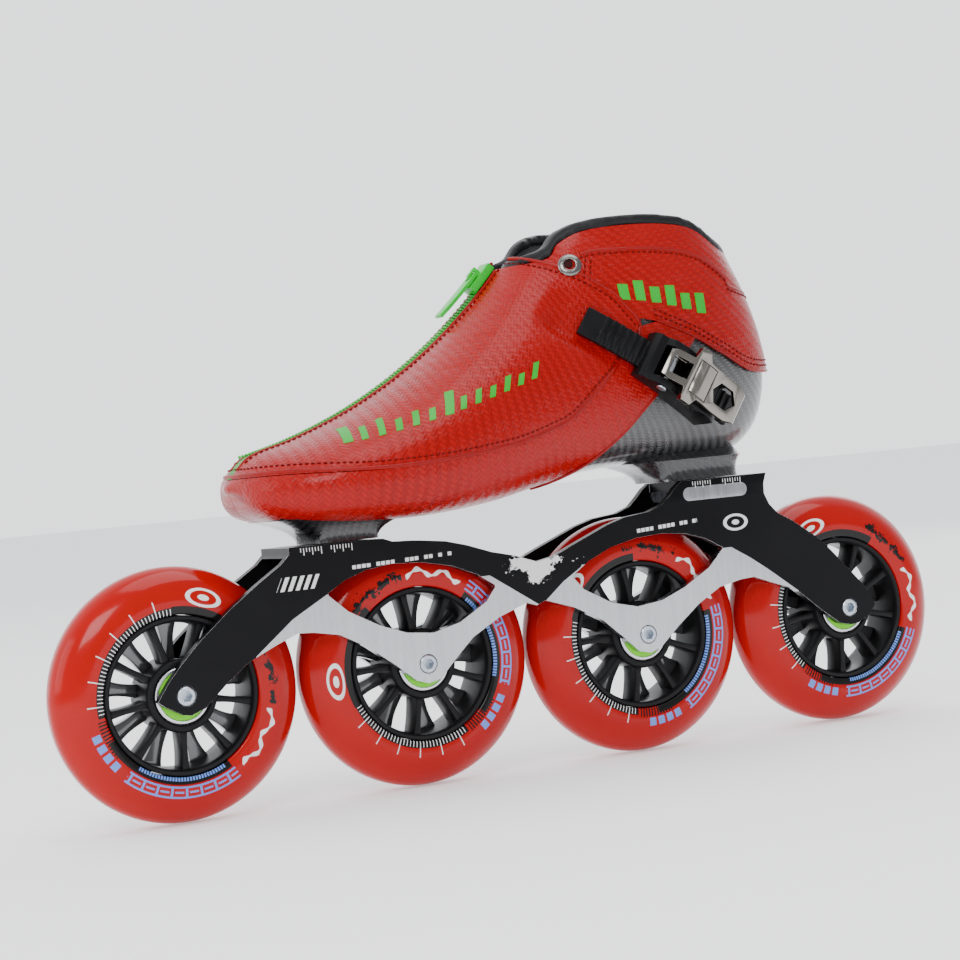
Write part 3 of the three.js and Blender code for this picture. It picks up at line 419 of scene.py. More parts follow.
def frame_metal():
    """Black anodising with bare arms, white scale ticks and plain marks."""
    paint = Paint("black_alloy", Specular_IOR_Level=0.12)
    x, y, z = paint.place()
    bare_arms = [line_under(x, z, line) for line in BARE_ARMS]
    arms = (bare_arms[0] + bare_arms[1] + bare_arms[2] + bare_arms[3]) * (z < 82.5 * MM)
    inlay_x = (abs(x + 90.5 * MM) - 13 * MM).math("MAXIMUM", 0)
    inlay_z = z - 107 * MM
    inlay = hypotenuse(inlay_x, inlay_z) < 2.9 * MM
    side = abs(y) > 12 * MM
    bare = both(either(arms.math("MINIMUM", 1), inlay), side)
    white = white_marks(paint, x, z) * (abs(y) > 14 * MM)
    lines = paint.noise(420, 2, 0.5, (1, 1, 0.06))
    grain = paint.noise(1400, 2)
    cloud = paint.noise(30, 3)
    metal = paint.colour(lines, (0.42, 0.43, 0.45, 1), (0.66, 0.67, 0.69, 1))
    black = paint.colour(cloud, (0.003, 0.003, 0.0035, 1), (0.008, 0.008, 0.009, 1))
    surface = paint.colour(bare, black, metal)
    paint.set("Base Color", paint.colour(white, surface, (0.8, 0.8, 0.8, 1)))
    paint.set("Metallic", bare * (1 - white))
    paint.set("Roughness", paint.number(bare, cloud * 0.12 + 0.26, lines * 0.15 + 0.2))
    relief = paint.number(bare, grain * 0.5, lines)
    paint.set("Normal", paint.bump(relief, 0.02 * MM, 0.3))
    return paint.material


def white_marks(paint, x, z):
    """Scale ticks below each deck, rows of plain dashes, and a loose splash in the middle."""
    ticks = tick_row(x, z, 79, FRONT_DECK)
    for start, deck in ((92, FRONT_DECK), (-103.5, REAR_DECK), (-88.5, REAR_DECK)):
        ticks = either(ticks, tick_row(x, z, start, deck))
    # dashes of uneven length, as plain stand-ins for lines of print
    cell = x / (2.1 * MM)
    broken = paint.add("ShaderNodeTexWhiteNoise", {"noise_dimensions": "1D"}, {"W": cell.math("FLOOR")})
    dash = both(cell.fract() > 0.22, broken > 0.25)
    slope_front = z - (x - 60 * MM) * -0.03 - 92.6 * MM
    row_front = both(abs(slope_front) < 0.75 * MM, within(x, 36 * MM, 80 * MM))
    slope_rear = z - (x + 60 * MM) * -0.06 - 94.4 * MM
    row_rear = both(abs(slope_rear) < 0.8 * MM, within(x, -80 * MM, -44 * MM))
    marks = either(ticks, both(dash, either(row_front, row_rear)))
    # slanted bars on the front leg and an oval ring on the rear one
    lean = x + z * 0.5 - 147.4 * MM
    bars = both(((lean / (3.2 * MM)).fract()) > 0.45, within(lean, -8 * MM, 8 * MM),
                within(z, 85.5 * MM, 91 * MM))
    oval_x = (x + 99 * MM) / (6.2 * MM)
    oval_z = (z - 93 * MM) / (3.6 * MM)
    radius = hypotenuse(oval_x, oval_z)
    oval = either(within(radius, 0.72, 1), radius < 0.3)
    ragged = paint.noise(150, 5, 0.75)
    splash_x = abs(x / (27 * MM))
    middle_line = abs(z - 85.5 * MM) / (7 * MM)
    splash = (ragged - splash_x * 0.32 - middle_line * 0.2) > 0.34
    return either(marks, either(either(bars, oval), both(splash, z > 73 * MM)))


def urethane(place, spin):
    """Glossy cast urethane, printed with a black scale ring and plain marks round the core."""
    paint = Paint(f"urethane_{place}", Coat_Weight=0.12, Coat_Roughness=0.04, Specular_IOR_Level=0.2)
    x, _, z = paint.place()
    across = (x - joints[f"{place}_wheel_spin"]["pos_m"][0]) * -1
    rise = z - AXLE_HEIGHT
    radius = hypotenuse(across, rise) / MM
    turn = (rise.math("ARCTAN2", across) * (180 / math.pi) - spin).math("FLOORED_MODULO", 360)
    cloud = paint.noise(25, 3)
    red = paint.colour(cloud, (0.34, 0.0, 0.0, 1), (0.46, 0.0008, 0.0, 1))
    band = both(radius < 34.2, either(within(turn, 92, 188), within(turn, 205, 300)))
    fade = both(radius < 34.6, within(turn, 20, 92))
    scale = turn + 4.5
    long_step = scale / 15.4
    long_tick = both(abs(long_step.fract() - 0.5) > 0.479, radius < 38)
    short_tick = (abs((scale / 2.566).fract() - 0.5) > 0.39) * (radius < 33.8)
    ticks = both(either(long_tick, short_tick), radius > 31.3, within(turn, 92, 186))
    oval_angle = (turn - 72) / 11
    oval_radius = (radius - 38.6) / 3.6
    oval = hypotenuse(oval_angle, oval_radius)
    ring = either(within(oval, 0.74, 1), oval < 0.32)
    step = turn / 9.2
    wave = abs(step.fract() - 0.5) * 2
    key = radius - 37.2
    meander = both(within(turn, 228, 301), either(
        within(abs(key), 1.6, 2.35),
        either(both(wave > 0.84, abs(key) < 2), both(abs(key) < 0.38, wave < 0.6))))
    wavy = (turn * 0.35).math("SINE") * 1.3 + (radius - 37)
    ribbon = both(abs(wavy) < 0.75 + (turn * 0.9).math("SINE") * 0.35, within(turn, 306, 345))
    dots = both((turn / 2.1).fract() > 0.35, within(radius, 31.4, 32.9), within(turn, 232, 296))
    blue = either(meander, dots)
    pads = both(within(radius, 35.6, 39), within(turn, 196, 222), (turn / 6.5).fract() > 0.3)
    splatter = paint.noise(170, 5, 0.75)
    smear = both((splatter + abs(radius - 37) * -0.045) > 0.46, either(within(turn, 348, 360), turn < 28))
    code = both(within(radius, 31.3, 35), within(turn, 190, 216), (turn / 2.3).fract() > 0.5)
    dark = either(either(band, fade), either(smear, code))
    tone = paint.colour(dark, red, (0.006, 0.005, 0.005, 1))
    tone = paint.colour(either(blue, pads), tone, (0.14, 0.27, 0.72, 1))
    tone = paint.colour(either(either(ticks, ring), ribbon), tone, (0.85, 0.85, 0.85, 1))
    paint.set("Base Color", tone)
    paint.set("Roughness", paint.range(cloud, 0.3, 0.7, 0.1, 0.17))
    paint.set("Normal", paint.bump(paint.noise(60, 2), 0.2 * MM, 0.12))
    return paint.material


# name, dark colour, pale colour, roughness, grain scale, grain depth, coat, metal
GRAINED = (
    ("red_thread", (0.09, 0.0006, 0.0005), (0.15, 0.0012, 0.001), 0.7, 2600, 0.1),
    # the next row is painted shade: the red leather seen down the eyelets' holes, made near black
    ("eyelet_hole_shade", (0.012, 0.001, 0.001), (0.03, 0.002, 0.002), 0.7, 900, 0.1),
    ("black_leather", (0.008, 0.008, 0.009), (0.018, 0.018, 0.02), 0.42, 800, 0.2),
    ("green_zip", (0.006, 0.42, 0.018), (0.012, 0.56, 0.03), 0.3, 1500, 0.05, 0.3),
    ("green_mark", (0.006, 0.32, 0.014), (0.012, 0.46, 0.03), 0.4, 1500, 0.05, 0.2),
    ("gunmetal", (0.20, 0.185, 0.165), (0.30, 0.28, 0.25), 0.18, 900, 0.02, 0, 1.0),
    ("nickel", (0.15, 0.145, 0.135), (0.24, 0.23, 0.215), 0.2, 900, 0.02, 0, 1.0),
    ("black_plastic", (0.003, 0.003, 0.0035), (0.008, 0.008, 0.009), 0.3, 1600, 0.08),
    ("black_nylon", (0.004, 0.004, 0.0045), (0.012, 0.012, 0.013), 0.34, 1100, 0.1),
    ("bearing_seal", (0.14, 0.60, 0.015), (0.24, 0.80, 0.03), 0.35, 1500, 0.06),
)
# name, dark colour, pale colour, roughness
CARBON = (
    ("carbon", (0.005, 0.005, 0.0055, 1), (0.040, 0.041, 0.043, 1), 0.24),
    ("carbon_dark", (0.004, 0.004, 0.005, 1), (0.016, 0.016, 0.018, 1), 0.22),
)
# name, dark colour, pale colour
KNITTED = (
    ("black_lining", (0.008, 0.008, 0.009), (0.02, 0.02, 0.022)),
    ("green_tape", (0.004, 0.34, 0.014), (0.008, 0.46, 0.022)),
)
# name, colour, roughness, the way the cutter's lines run
MACHINED = (
    ("bearing_steel", (0.66, 0.67, 0.69), 0.16, (1, 1, 1)),
    ("zinc_steel", (0.52, 0.57, 0.63), 0.22, (1, 1, 1)),
    ("bright_alloy", (0.76, 0.77, 0.79), 0.18, (0.1, 1, 1)),
)


def make_materials():
    """Every material but the tyres', by name."""
    made = {
        "red_leather": red_leather(),
        "red_edge": plain_red_leather(),
        "glossy_nylon": glossy_nylon(),
        "black_alloy": frame_metal(),
    }
    for make, rows in ((carbon, CARBON), (knitted, KNITTED), (grained, GRAINED), (machined, MACHINED)):
        made.update({row[0]: make(*row) for row in rows})
    return made


# ---------------------------------------------------------------- mesh tools
def active(obj):
    bpy.ops.object.select_all(action="DESELECT")
    obj.select_set(True)
    bpy.context.view_layer.objects.active = obj


def edit(obj, *steps):
    """Runs edit-mode operators on the whole mesh."""
    active(obj)
    bpy.ops.object.mode_set(mode="EDIT")
    bpy.ops.mesh.select_all(action="SELECT")
    for step in steps:
        step()
    bpy.ops.object.mode_set(mode="OBJECT")


def outward():
    bpy.ops.mesh.normals_make_consistent(inside=False)


def merge():
    bpy.ops.mesh.remove_doubles(threshold=1e-6)


def mesh_piece(name, points, faces):
    """A mesh object from points in metres, with its faces turned outward."""
    mesh = bpy.data.meshes.new(name)
    mesh.from_pydata([tuple(p) for p in points], [], [tuple(f) for f in faces])
    mesh.validate()
    mesh.update()
    obj = bpy.data.objects.new(name, mesh)
    bpy.context.scene.collection.objects.link(obj)
    edit(obj, outward)
    return obj


def ring_faces(sides, rows, base=0):
    """Faces over rings of points, one ring to a row, with both ends closed."""
    faces = []
    for i in range(rows - 1):
        for k in range(sides):
            a, b = base + i * sides + k, base + i * sides + (k + 1) % sides
            faces.append((a, b, b + sides, a + sides))
    faces.append([base + k for k in range(sides)][::-1])
    faces.append([base + (rows - 1) * sides + k for k in range(sides)])
    return faces


def modify(obj, kind, **settings):
    modifier = obj.modifiers.new(kind.lower(), kind)
    for key, value in settings.items():
        setattr(modifier, key, value)
    active(obj)
    bpy.ops.object.modifier_apply(modifier=modifier.name)


def combine(obj, operation, *others):
    for other in others:
        modify(obj, "BOOLEAN", operation=operation, object=other, solver="MANIFOLD")
    return obj


def discard(*objects):
    for obj in objects:
        bpy.data.objects.remove(obj)


def copy_of(obj, name):
    other = bpy.data.objects.new(name, obj.data.copy())
    bpy.context.scene.collection.objects.link(other)
    return other


def join(name, objects):
    bpy.ops.object.select_all(action="DESELECT")
    for obj in objects:
        obj.select_set(True)
    bpy.context.view_layer.objects.active = objects[0]
    bpy.ops.object.join()
    objects[0].name = name
    objects[0].data.name = name
    return objects[0]


def finish(obj, material, body, slot, *nodes, angle=35):
    """Dresses a finished piece, parents it to its body's empty and hides the CAD nodes it stands for."""
    if material is not None:
        obj.data.materials.clear()
        obj.data.materials.append(material)
    active(obj)
    bpy.ops.object.shade_smooth_by_angle(angle=math.radians(angle))
    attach(obj, body)
    if nodes:
        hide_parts(*nodes)
    return obj


def rounded(node, bevel, segments):
    """The CAD node's own shape, its flats made whole and its edges rounded."""
    obj = copy_of(frame["nodes"][node], f"{node}_finished")
    edit(obj, merge, lambda: bpy.ops.mesh.dissolve_limited(angle_limit=math.radians(1)))
    modify(obj, "BEVEL", width=bevel * MM, segments=segments, limit_method="ANGLE",
           angle_limit=math.radians(40), use_clamp_overlap=True)
    return obj


def refined(node, material, body, slot, bevel, segments=2):
    return finish(rounded(node, bevel, segments), material, body, slot, node)


def turned(name, profile, centre, steps=96):
    """A closed profile of [radius, y] spun about the Y line through centre, all in millimetres."""
    cx, cy, cz = centre
    points = [((cx + r) * MM, (cy + y) * MM, cz * MM) for r, y in profile]
    mesh = bpy.data.meshes.new(name)
    count = len(points)
    mesh.from_pydata(points, [(i, (i + 1) % count) for i in range(count)], [])
    obj = bpy.data.objects.new(name, mesh)
    bpy.context.scene.collection.objects.link(obj)
    edit(
        obj,
        lambda: bpy.ops.mesh.spin(steps=steps, angle=2 * math.pi, center=(cx * MM, cy * MM, cz * MM),
                                  axis=(0, 1, 0)),
        lambda: bpy.ops.mesh.select_all(action="SELECT"),
        merge, outward,
    )
    return obj


def smooth_line(points, per_span):
    """More points on a smooth curve through the given ones."""
    p = np.array(points, float)
    count = len(p)
    result = []
    for i in range(count - 1):
        a, b, c, d = p[max(i - 1, 0)], p[i], p[i + 1], p[min(i + 2, count - 1)]
        for t in np.arange(per_span) / per_span:
            result.append(0.5 * (2 * b + (c - a) * t + (2 * a - 5 * b + 4 * c - d) * t * t
                                 + (3 * b - a - 3 * c + d) * t ** 3))
    result.append(p[-1])
    return np.array(result)


def between(name, near, far):
    """A solid between two outlines in metres that have as many points each."""
    count = len(near)
    faces = [list(range(count)), list(range(2 * count - 1, count - 1, -1))]
    faces += [[i, (i + 1) % count, count + (i + 1) % count, count + i] for i in range(count)]
    return mesh_piece(name, [*near, *far], faces)


def prism(name, outline, right, left):
    """A side-view outline of [x, z], solid between two y values, all in millimetres."""
    return between(name, *([(x * MM, y * MM, z * MM) for x, z in outline] for y in (right, left)))


def tube(path, out, radius):
    """A round cord along a path in metres, with the way out from the boot at each point."""
    p = np.array(path)
    sides = 10
    ahead = np.roll(p, -1, 0) - np.roll(p, 1, 0)
    ahead[0] = p[1] - p[0]
    ahead[-1] = p[-1] - p[-2]
    ahead /= np.linalg.norm(ahead, axis=1)[:, None]
    side = np.cross(ahead, out)
    side /= np.linalg.norm(side, axis=1)[:, None]
    lift = np.cross(side, ahead)
    angles = 2 * math.pi * np.arange(sides) / sides
    ring = [p + radius * MM * (math.cos(a) * side + math.sin(a) * lift) for a in angles]
    return mesh_piece("piping", np.stack(ring, 1).reshape(-1, 3), ring_faces(sides, len(p)))


# ---------------------------------------------------------------- the boot's last
# Ribs from the toe round the heel to the ankle: instep x, z, sole x, z, half width left, right.
def instep(x):
    return ZIP_CENTRE[1] - math.sqrt((ZIP_RADIUS + SKIN_OUT) ** 2 - (x - ZIP_CENTRE[0]) ** 2)


RIBS = np.array([
    [122.6, 127.9, 122.4, 127.1, 1.5, 1.5],
    [121.5, 129.5, 121, 125.5, 7, 7],
    [119, 133.5, 117.5, 118.5, 20, 19],
    [112, instep(112), 110, 115, 30, 27.5],
    [95, instep(95), 94, 113, 41, 37],
    [72, instep(72), 72, 111.4, 46.2, 42.3],
    [50, instep(50), 48, 110.8, 47.5, 44],
    [30, instep(30), 18, 113.2, 45.3, 43.5],
    [14, instep(14), -12, 118.4, 42.2, 41],
    [2, instep(2), -45, 121.6, 39, 38],
    [-6, 211, -78, 122, 37, 36.5],
    [-10, 217, -102, 122.9, 36.5, 36],
    [-14, 224, -117, 132, 36, 36],
    [-17, 230, -124, 149, 35.7, 35.5],
    [-20, 237, -123, 166, 35, 35],
    [-22.5, 245, -117, 186, 34.2, 34.2],
    [-25, 258, -104, 216, 32.5, 32.5],
    [-27, 282, -97, 248, 31.5, 31.5],
])
RIB_FIRST = -1
ANKLE_RIB = 9
RIB_STEPS = 12
HALVINGS = 26
rib_table = smooth_line(RIBS, RIB_STEPS)
rib_places = RIB_FIRST + np.arange(len(rib_table)) / RIB_STEPS


def rib_at(u):
    return [np.interp(u, rib_places, rib_table[:, i]) for i in range(6)]


def rib_shape(u):
    fore = np.clip((ANKLE_RIB - u) / 5, 0, 1)
    return 0.5 - 0.1 * fore, 2 / (2.2 - 0.3 * fore), 2 / (2.3 + 0.9 * fore)


def last_point(u, v):
    """The last's surface in the boot's millimetres. u counts ribs, v is the angle round a rib."""
    u, v = np.broadcast_arrays(np.asarray(u, float), np.asarray(v, float))
    top_x, top_z, sole_x, sole_z, left, right = rib_at(u)
    widest, top_power, sole_power = rib_shape(u)
    sine, cosine = np.sin(v), np.cos(v)
    power = np.where(sine >= 0, top_power, sole_power)
    share = np.where(sine >= 0, 1 - widest, widest)
    up = share * np.sign(sine) * np.abs(sine) ** power + widest
    across = np.sign(cosine) * np.abs(cosine) ** power
    y = across * np.where(cosine >= 0, left, right)
    return np.stack([sole_x + (top_x - sole_x) * up, y, sole_z + (top_z - sole_z) * up], -1)


def last_normal(u, v):
    step = 0.02
    along = last_point(u + step, v) - last_point(u - step, v)
    around = last_point(u, v + step) - last_point(u, v - step)
    normal = np.cross(along, around)
    return normal / np.maximum(np.linalg.norm(normal, axis=-1), 1e-9)[..., None]


def rib_through(x, z):
    """Which rib's plane passes through a side-view point."""
    x, z = np.asarray(x, float), np.asarray(z, float)
    lower = np.full(x.shape, float(rib_places[0]))
    upper = np.full(x.shape, float(rib_places[-1]))
    for _ in range(HALVINGS):
        u = (lower + upper) / 2
        top_x, top_z, sole_x, sole_z, _, _ = rib_at(u)
        toeward = (top_x - sole_x) * (z - sole_z) - (top_z - sole_z) * (x - sole_x) < 0
        upper = np.where(toeward, u, upper)
        lower = np.where(toeward, lower, u)
    return (lower + upper) / 2


def share_up(u, x, z):
    top_x, top_z, sole_x, sole_z, _, _ = rib_at(u)
    length = (top_x - sole_x) ** 2 + (top_z - sole_z) ** 2
    return ((x - sole_x) * (top_x - sole_x) + (z - sole_z) * (top_z - sole_z)) / length


def on_side(x, z, side):
    """u and v of the surface point seen at (x, z) from one side: 1 is left, -1 right."""
    u = rib_through(x, z)
    widest, top_power, sole_power = rib_shape(u)
    up = share_up(u, x, z) - widest
    share = np.where(up >= 0, 1 - widest, widest)
    power = np.where(up >= 0, top_power, sole_power)
    sine = np.sign(up) * np.clip(np.abs(up) / share, 0, 1) ** (1 / power)
    v = np.arcsin(sine)
    return u, np.where(side > 0, v, math.pi - v)


def to_row(points):
    return np.asarray(points) * MM + boot_origin


STRAP_CENTRE = np.array(joints["strap_draw"]["pos_m"])
STRAP_ACROSS = np.array(joints["strap_draw"]["axis"]) / np.linalg.norm(joints["strap_draw"]["axis"])
STRAP_UNDERSIDE = 168.1
STRAP_HALF_WIDTH = 6.1
# the pressing fades out beside the strap, in millimetres, and past its end, in degrees about its joint
STRAP_BESIDE = (8, 6.8)
STRAP_PAST_END = (21.5, 3.5)


def pressed(points, lift):
    """The boot gives way under the ladder strap, which slides on an arc about its joint."""
    from_centre = (points - STRAP_CENTRE) / MM
    beside = np.abs(from_centre @ STRAP_ACROSS)
    radial = from_centre - (from_centre @ STRAP_ACROSS)[..., None] * STRAP_ACROSS
    radius = np.linalg.norm(radial, axis=-1)
    over = np.maximum(radius + SKIN_OUT - lift - STRAP_UNDERSIDE, 0)
    fade = np.clip((STRAP_HALF_WIDTH + STRAP_BESIDE[0] - beside) / STRAP_BESIDE[1], 0, 1)
    turn = np.degrees(np.arccos(np.clip(radial[..., 1] / np.maximum(radius, 1), -1, 1)))
    fade *= np.clip((STRAP_PAST_END[0] - turn) / STRAP_PAST_END[1], 0, 1)
    fade = fade * fade * (3 - 2 * fade)
    return points - radial / np.maximum(radius, 1)[..., None] * (over * fade * MM)[..., None]


def lifted(u, v, lift):
    return pressed(to_row(last_point(u, v) + lift * last_normal(u, v)), lift)


RING = 120
TOE_ROWS = 34
BODY_ROWS = 120


def last_solid(name, lift, first=-0.98):
    """The last grown by a distance, as a fine closed mesh."""
    us = np.concatenate([np.linspace(first, 2, TOE_ROWS)[:-1], np.linspace(2, rib_places[-1], BODY_ROWS)])
    vs = 2 * math.pi * np.arange(RING) / RING
    grid_u, grid_v = np.meshgrid(us, vs, indexing="ij")
    points = lifted(grid_u, grid_v, lift).reshape(-1, 3)
    rows = len(us)
    ends = [points[:RING].mean(0), points[-RING:].mean(0)]
    faces = []
    for i in range(rows - 1):
        for k in range(RING):
            a, b = i * RING + k, i * RING + (k + 1) % RING
            faces.append((a, a + RING, b + RING, b))
    toe, top = rows * RING, rows * RING + 1
    for k in range(RING):
        faces.append((toe, k, (k + 1) % RING))
        faces.append((top, (rows - 1) * RING + (k + 1) % RING, (rows - 1) * RING + k))
    return mesh_piece(name, np.vstack([points, ends]), faces)


# arc lengths over the last, for cloth that follows it
CLOTH_U = np.linspace(rib_places[0], rib_places[-1], 240)
CLOTH_V = np.linspace(-math.pi / 2, 3 * math.pi / 2, 241)
# the columns that run along the side and half way down to the sole
SIDE_COLUMN = 60
LOW_COLUMN = 30
cloth_points = last_point(CLOTH_U[:, None], CLOTH_V[None, :])
girth_steps = np.linalg.norm(np.diff(cloth_points, axis=1), axis=2)
girth_table = np.concatenate([np.zeros((len(CLOTH_U), 1)), np.cumsum(girth_steps, 1)], 1)
girth_table -= girth_table[:, [SIDE_COLUMN]]
length_steps = np.linalg.norm(np.diff(cloth_points[:, SIDE_COLUMN], axis=0), axis=1) * 0.4
length_steps += np.linalg.norm(np.diff(cloth_points[:, LOW_COLUMN], axis=0), axis=1) * 0.6
length_table = np.concatenate([[0], np.cumsum(length_steps)])


def lay_cloth(obj):
    """Gives every point its place on the unrolled boot, in metres, as the UV map 'cloth'."""
    mesh = obj.data
    co = np.zeros(len(mesh.vertices) * 3)
    mesh.vertices.foreach_get("co", co)
    p = (co.reshape(-1, 3) - boot_origin) / MM
    u = rib_through(p[:, 0], p[:, 2])
    widest, top_power, sole_power = rib_shape(u)
    up = share_up(u, p[:, 0], p[:, 2]) - widest
    share = np.where(up >= 0, 1 - widest, widest)
    power = np.where(up >= 0, top_power, sole_power)
    _, _, _, _, left, right = rib_at(u)
    sine = np.sign(up) * (np.abs(up) / share) ** (1 / power)
    half = np.maximum(np.where(p[:, 1] >= 0, left, right), 0.5)
    cosine = np.sign(p[:, 1]) * (np.abs(p[:, 1]) / half) ** (1 / power)
    v = np.arctan2(sine, cosine)
    v = np.where(v < -math.pi / 2, v + 2 * math.pi, v)
    along = np.interp(u, CLOTH_U, length_table)
    column = (v + math.pi / 2) / (2 * math.pi) * (len(CLOTH_V) - 1)
    row = (u - CLOTH_U[0]) / (CLOTH_U[1] - CLOTH_U[0])
    i = np.clip(row.astype(int), 0, len(CLOTH_U) - 2)
    k = np.clip(column.astype(int), 0, len(CLOTH_V) - 2)
    s, t = row - i, column - k
    girth = ((1 - s) * (1 - t) * girth_table[i, k] + s * (1 - t) * girth_table[i + 1, k]
             + (1 - s) * t * girth_table[i, k + 1] + s * t * girth_table[i + 1, k + 1])
    layer = mesh.uv_layers.get("cloth") or mesh.uv_layers.new(name="cloth")
    corner = np.zeros(len(mesh.loops), int)
    mesh.loops.foreach_get("vertex_index", corner)
    flat = np.stack([along[corner], girth[corner]], 1) * MM + 1
    layer.data.foreach_set("uv", flat.ravel())


# ---------------------------------------------------------------- lines that divide the boot
COVER_SEAM = smooth_line([
    (140, 131.5), (110, 131.2), (80, 129.8), (59, 130.5), (38, 132.2), (16, 135.1), (0, 139.3),
    (-12, 143.8), (-27.5, 155.8), (-37, 163.8), (-47, 173), (-49.5, 179),
], 5)
COVER_EDGE = smooth_line([
    (-49.5, 179), (-48.4, 182.6), (-44.7, 187.3), (-40.8, 192.6), (-35.3, 197), (-27.3, 202.3),
    (-14.3, 208.7), (-7.8, 211.5), (-3.5, 212),
], 5)
RAND_EDGE = smooth_line([
    (22, 111.8), (5, 114.9), (-6, 117.4), (-20, 123.3), (-29, 128.9), (-39, 136.2), (-46, 142.6),
    (-54, 149.7), (-64, 160), (-75, 172.4),
], 5)
CUFF_EDGE = smooth_line([(-140, 158.5), (-108.4, 157.2), (-89.3, 165.4), (-75, 173.1), (-57.5, 180.6)], 6)
COLLAR_LINE = smooth_line([
    (20, 209), (-14, 209.5), (-22, 216), (-30, 220), (-42, 221.5), (-60, 221.5), (-75, 220),
    (-84, 217), (-95, 210.5), (-107, 208), (-150, 205),
], 5)
CUFF_BAND = smooth_line([(-30, 210.6), (-38, 211.6), (-59.8, 211), (-76.2, 208.4), (-86.9, 203.5),
                         (-94.7, 197.3), (-99.5, 192.4), (-140, 186)], 6)
ZIP_HALF_GAP = 3.2
WIDE = 90


def zone(name, outline, right=-WIDE, left=WIDE):
    """A side-view outline in the boot's millimetres, solid from right to left of its middle plane."""
    x, y, z = boot_origin / MM
    return prism(name, np.asarray(outline) + np.array([x, z]), right + y, left + y)


def box_zone(name, x0, x1, z0, z1, right, left):
    return zone(name, [(x0, z0), (x1, z0), (x1, z1), (x0, z1)], right, left)


def surface_path(line, side, lift):
    """Points on the boot where a side-view line meets one side, and the way out at each."""
    line = np.asarray(line, float)
    u, v = on_side(line[:, 0], line[:, 1], side)
    up = share_up(u, line[:, 0], line[:, 1])
    inside = (up > 0.002) & (up < 0.998) & (u < rib_places[-1] - 0.3)
    return lifted(u, v, lift)[inside], last_normal(u, v)[inside]


def fine(line, step=0.8):
    """The same line in even steps."""
    line = np.asarray(line, float)
    lengths = np.concatenate([[0], np.cumsum(np.linalg.norm(np.diff(line, axis=0), axis=1))])
    count = max(2, int(lengths[-1] / step))
    marks = np.linspace(0, lengths[-1], count)
    return np.stack([np.interp(marks, lengths, line[:, i]) for i in range(line.shape[1])], 1)


def round_path(line, lift):
    """A line that passes round the toe or the heel: up one side and down the other."""
    left, left_out = surface_path(line, 1, lift)
    right, right_out = surface_path(line, -1, lift)
    points = np.vstack([left, right[::-1]])
    outs = np.vstack([left_out, right_out[::-1]])
    return points, outs


def even(points, outs, step):
    """Even steps along a path in metres, with the way out at each."""
    both_rows = np.hstack([points, outs])
    lengths = np.concatenate([[0], np.cumsum(np.linalg.norm(np.diff(points, axis=0), axis=1))])
    marks = np.arange(0, lengths[-1], step)
    rows = np.stack([np.interp(marks, lengths, both_rows[:, i]) for i in range(6)], 1)
    out = rows[:, 3:] / np.linalg.norm(rows[:, 3:], axis=1)[:, None]
    return rows[:, :3], out


STITCH_PITCH = 2.5
STITCH_LENGTH = 1.75 * MM
STITCH_RADIUS = 0.33 * MM
# along a stitch: share of its length, share of its radius, rise in radii
STITCH_STATIONS = ((-0.5, 0.25, -0.35), (-0.3, 0.9, 0.1), (0, 1, 0.3), (0.3, 0.9, 0.1), (0.5, 0.25, -0.35))


def stitches(points, outs):
    """A row of short threads lying on the surface."""
    p, out = even(points, outs, STITCH_PITCH * MM)
    ahead = np.gradient(p, axis=0)
    ahead /= np.linalg.norm(ahead, axis=1)[:, None]
    side = np.cross(out, ahead)
    verts, faces = [], []
    sides = 6
    for centre, forward, across, up in zip(p, ahead, side, out):
        faces += ring_faces(sides, len(STITCH_STATIONS), len(verts))
        for share, girth, rise in STITCH_STATIONS:
            spot = centre + forward * (share * STITCH_LENGTH) + up * (rise * STITCH_RADIUS)
            for k in range(sides):
                a = 2 * math.pi * k / sides
                verts.append(spot + STITCH_RADIUS * girth * (math.cos(a) * across + math.sin(a) * up))
    return mesh_piece("stitch_row", verts, faces)


# ---------------------------------------------------------------- boot
SHELL_LINE = [(140, 139), (40, 139), (0, 147), (-30, 166), (-57, 186), (-89, 173), (-140, 165)]


def hollow(name, outer, inner):
    """What lies between two closed forms, of which the outer one is used up."""
    layer = combine(copy_of(outer, name), "DIFFERENCE", inner)
    discard(outer)
    return layer


def lift_line(line, by):
    return np.asarray(line) + np.array([0, by])


def cut_out(layer, name, keep, without=()):
    """The part of a layer that lies in every zone to keep and in none of the others."""
    obj = combine(copy_of(layer, name), "INTERSECT", *keep)
    return combine(obj, "DIFFERENCE", *without)


def dress(obj, material, slot, node):
    lay_cloth(obj)
    finish(obj, material, "skate", slot, node)


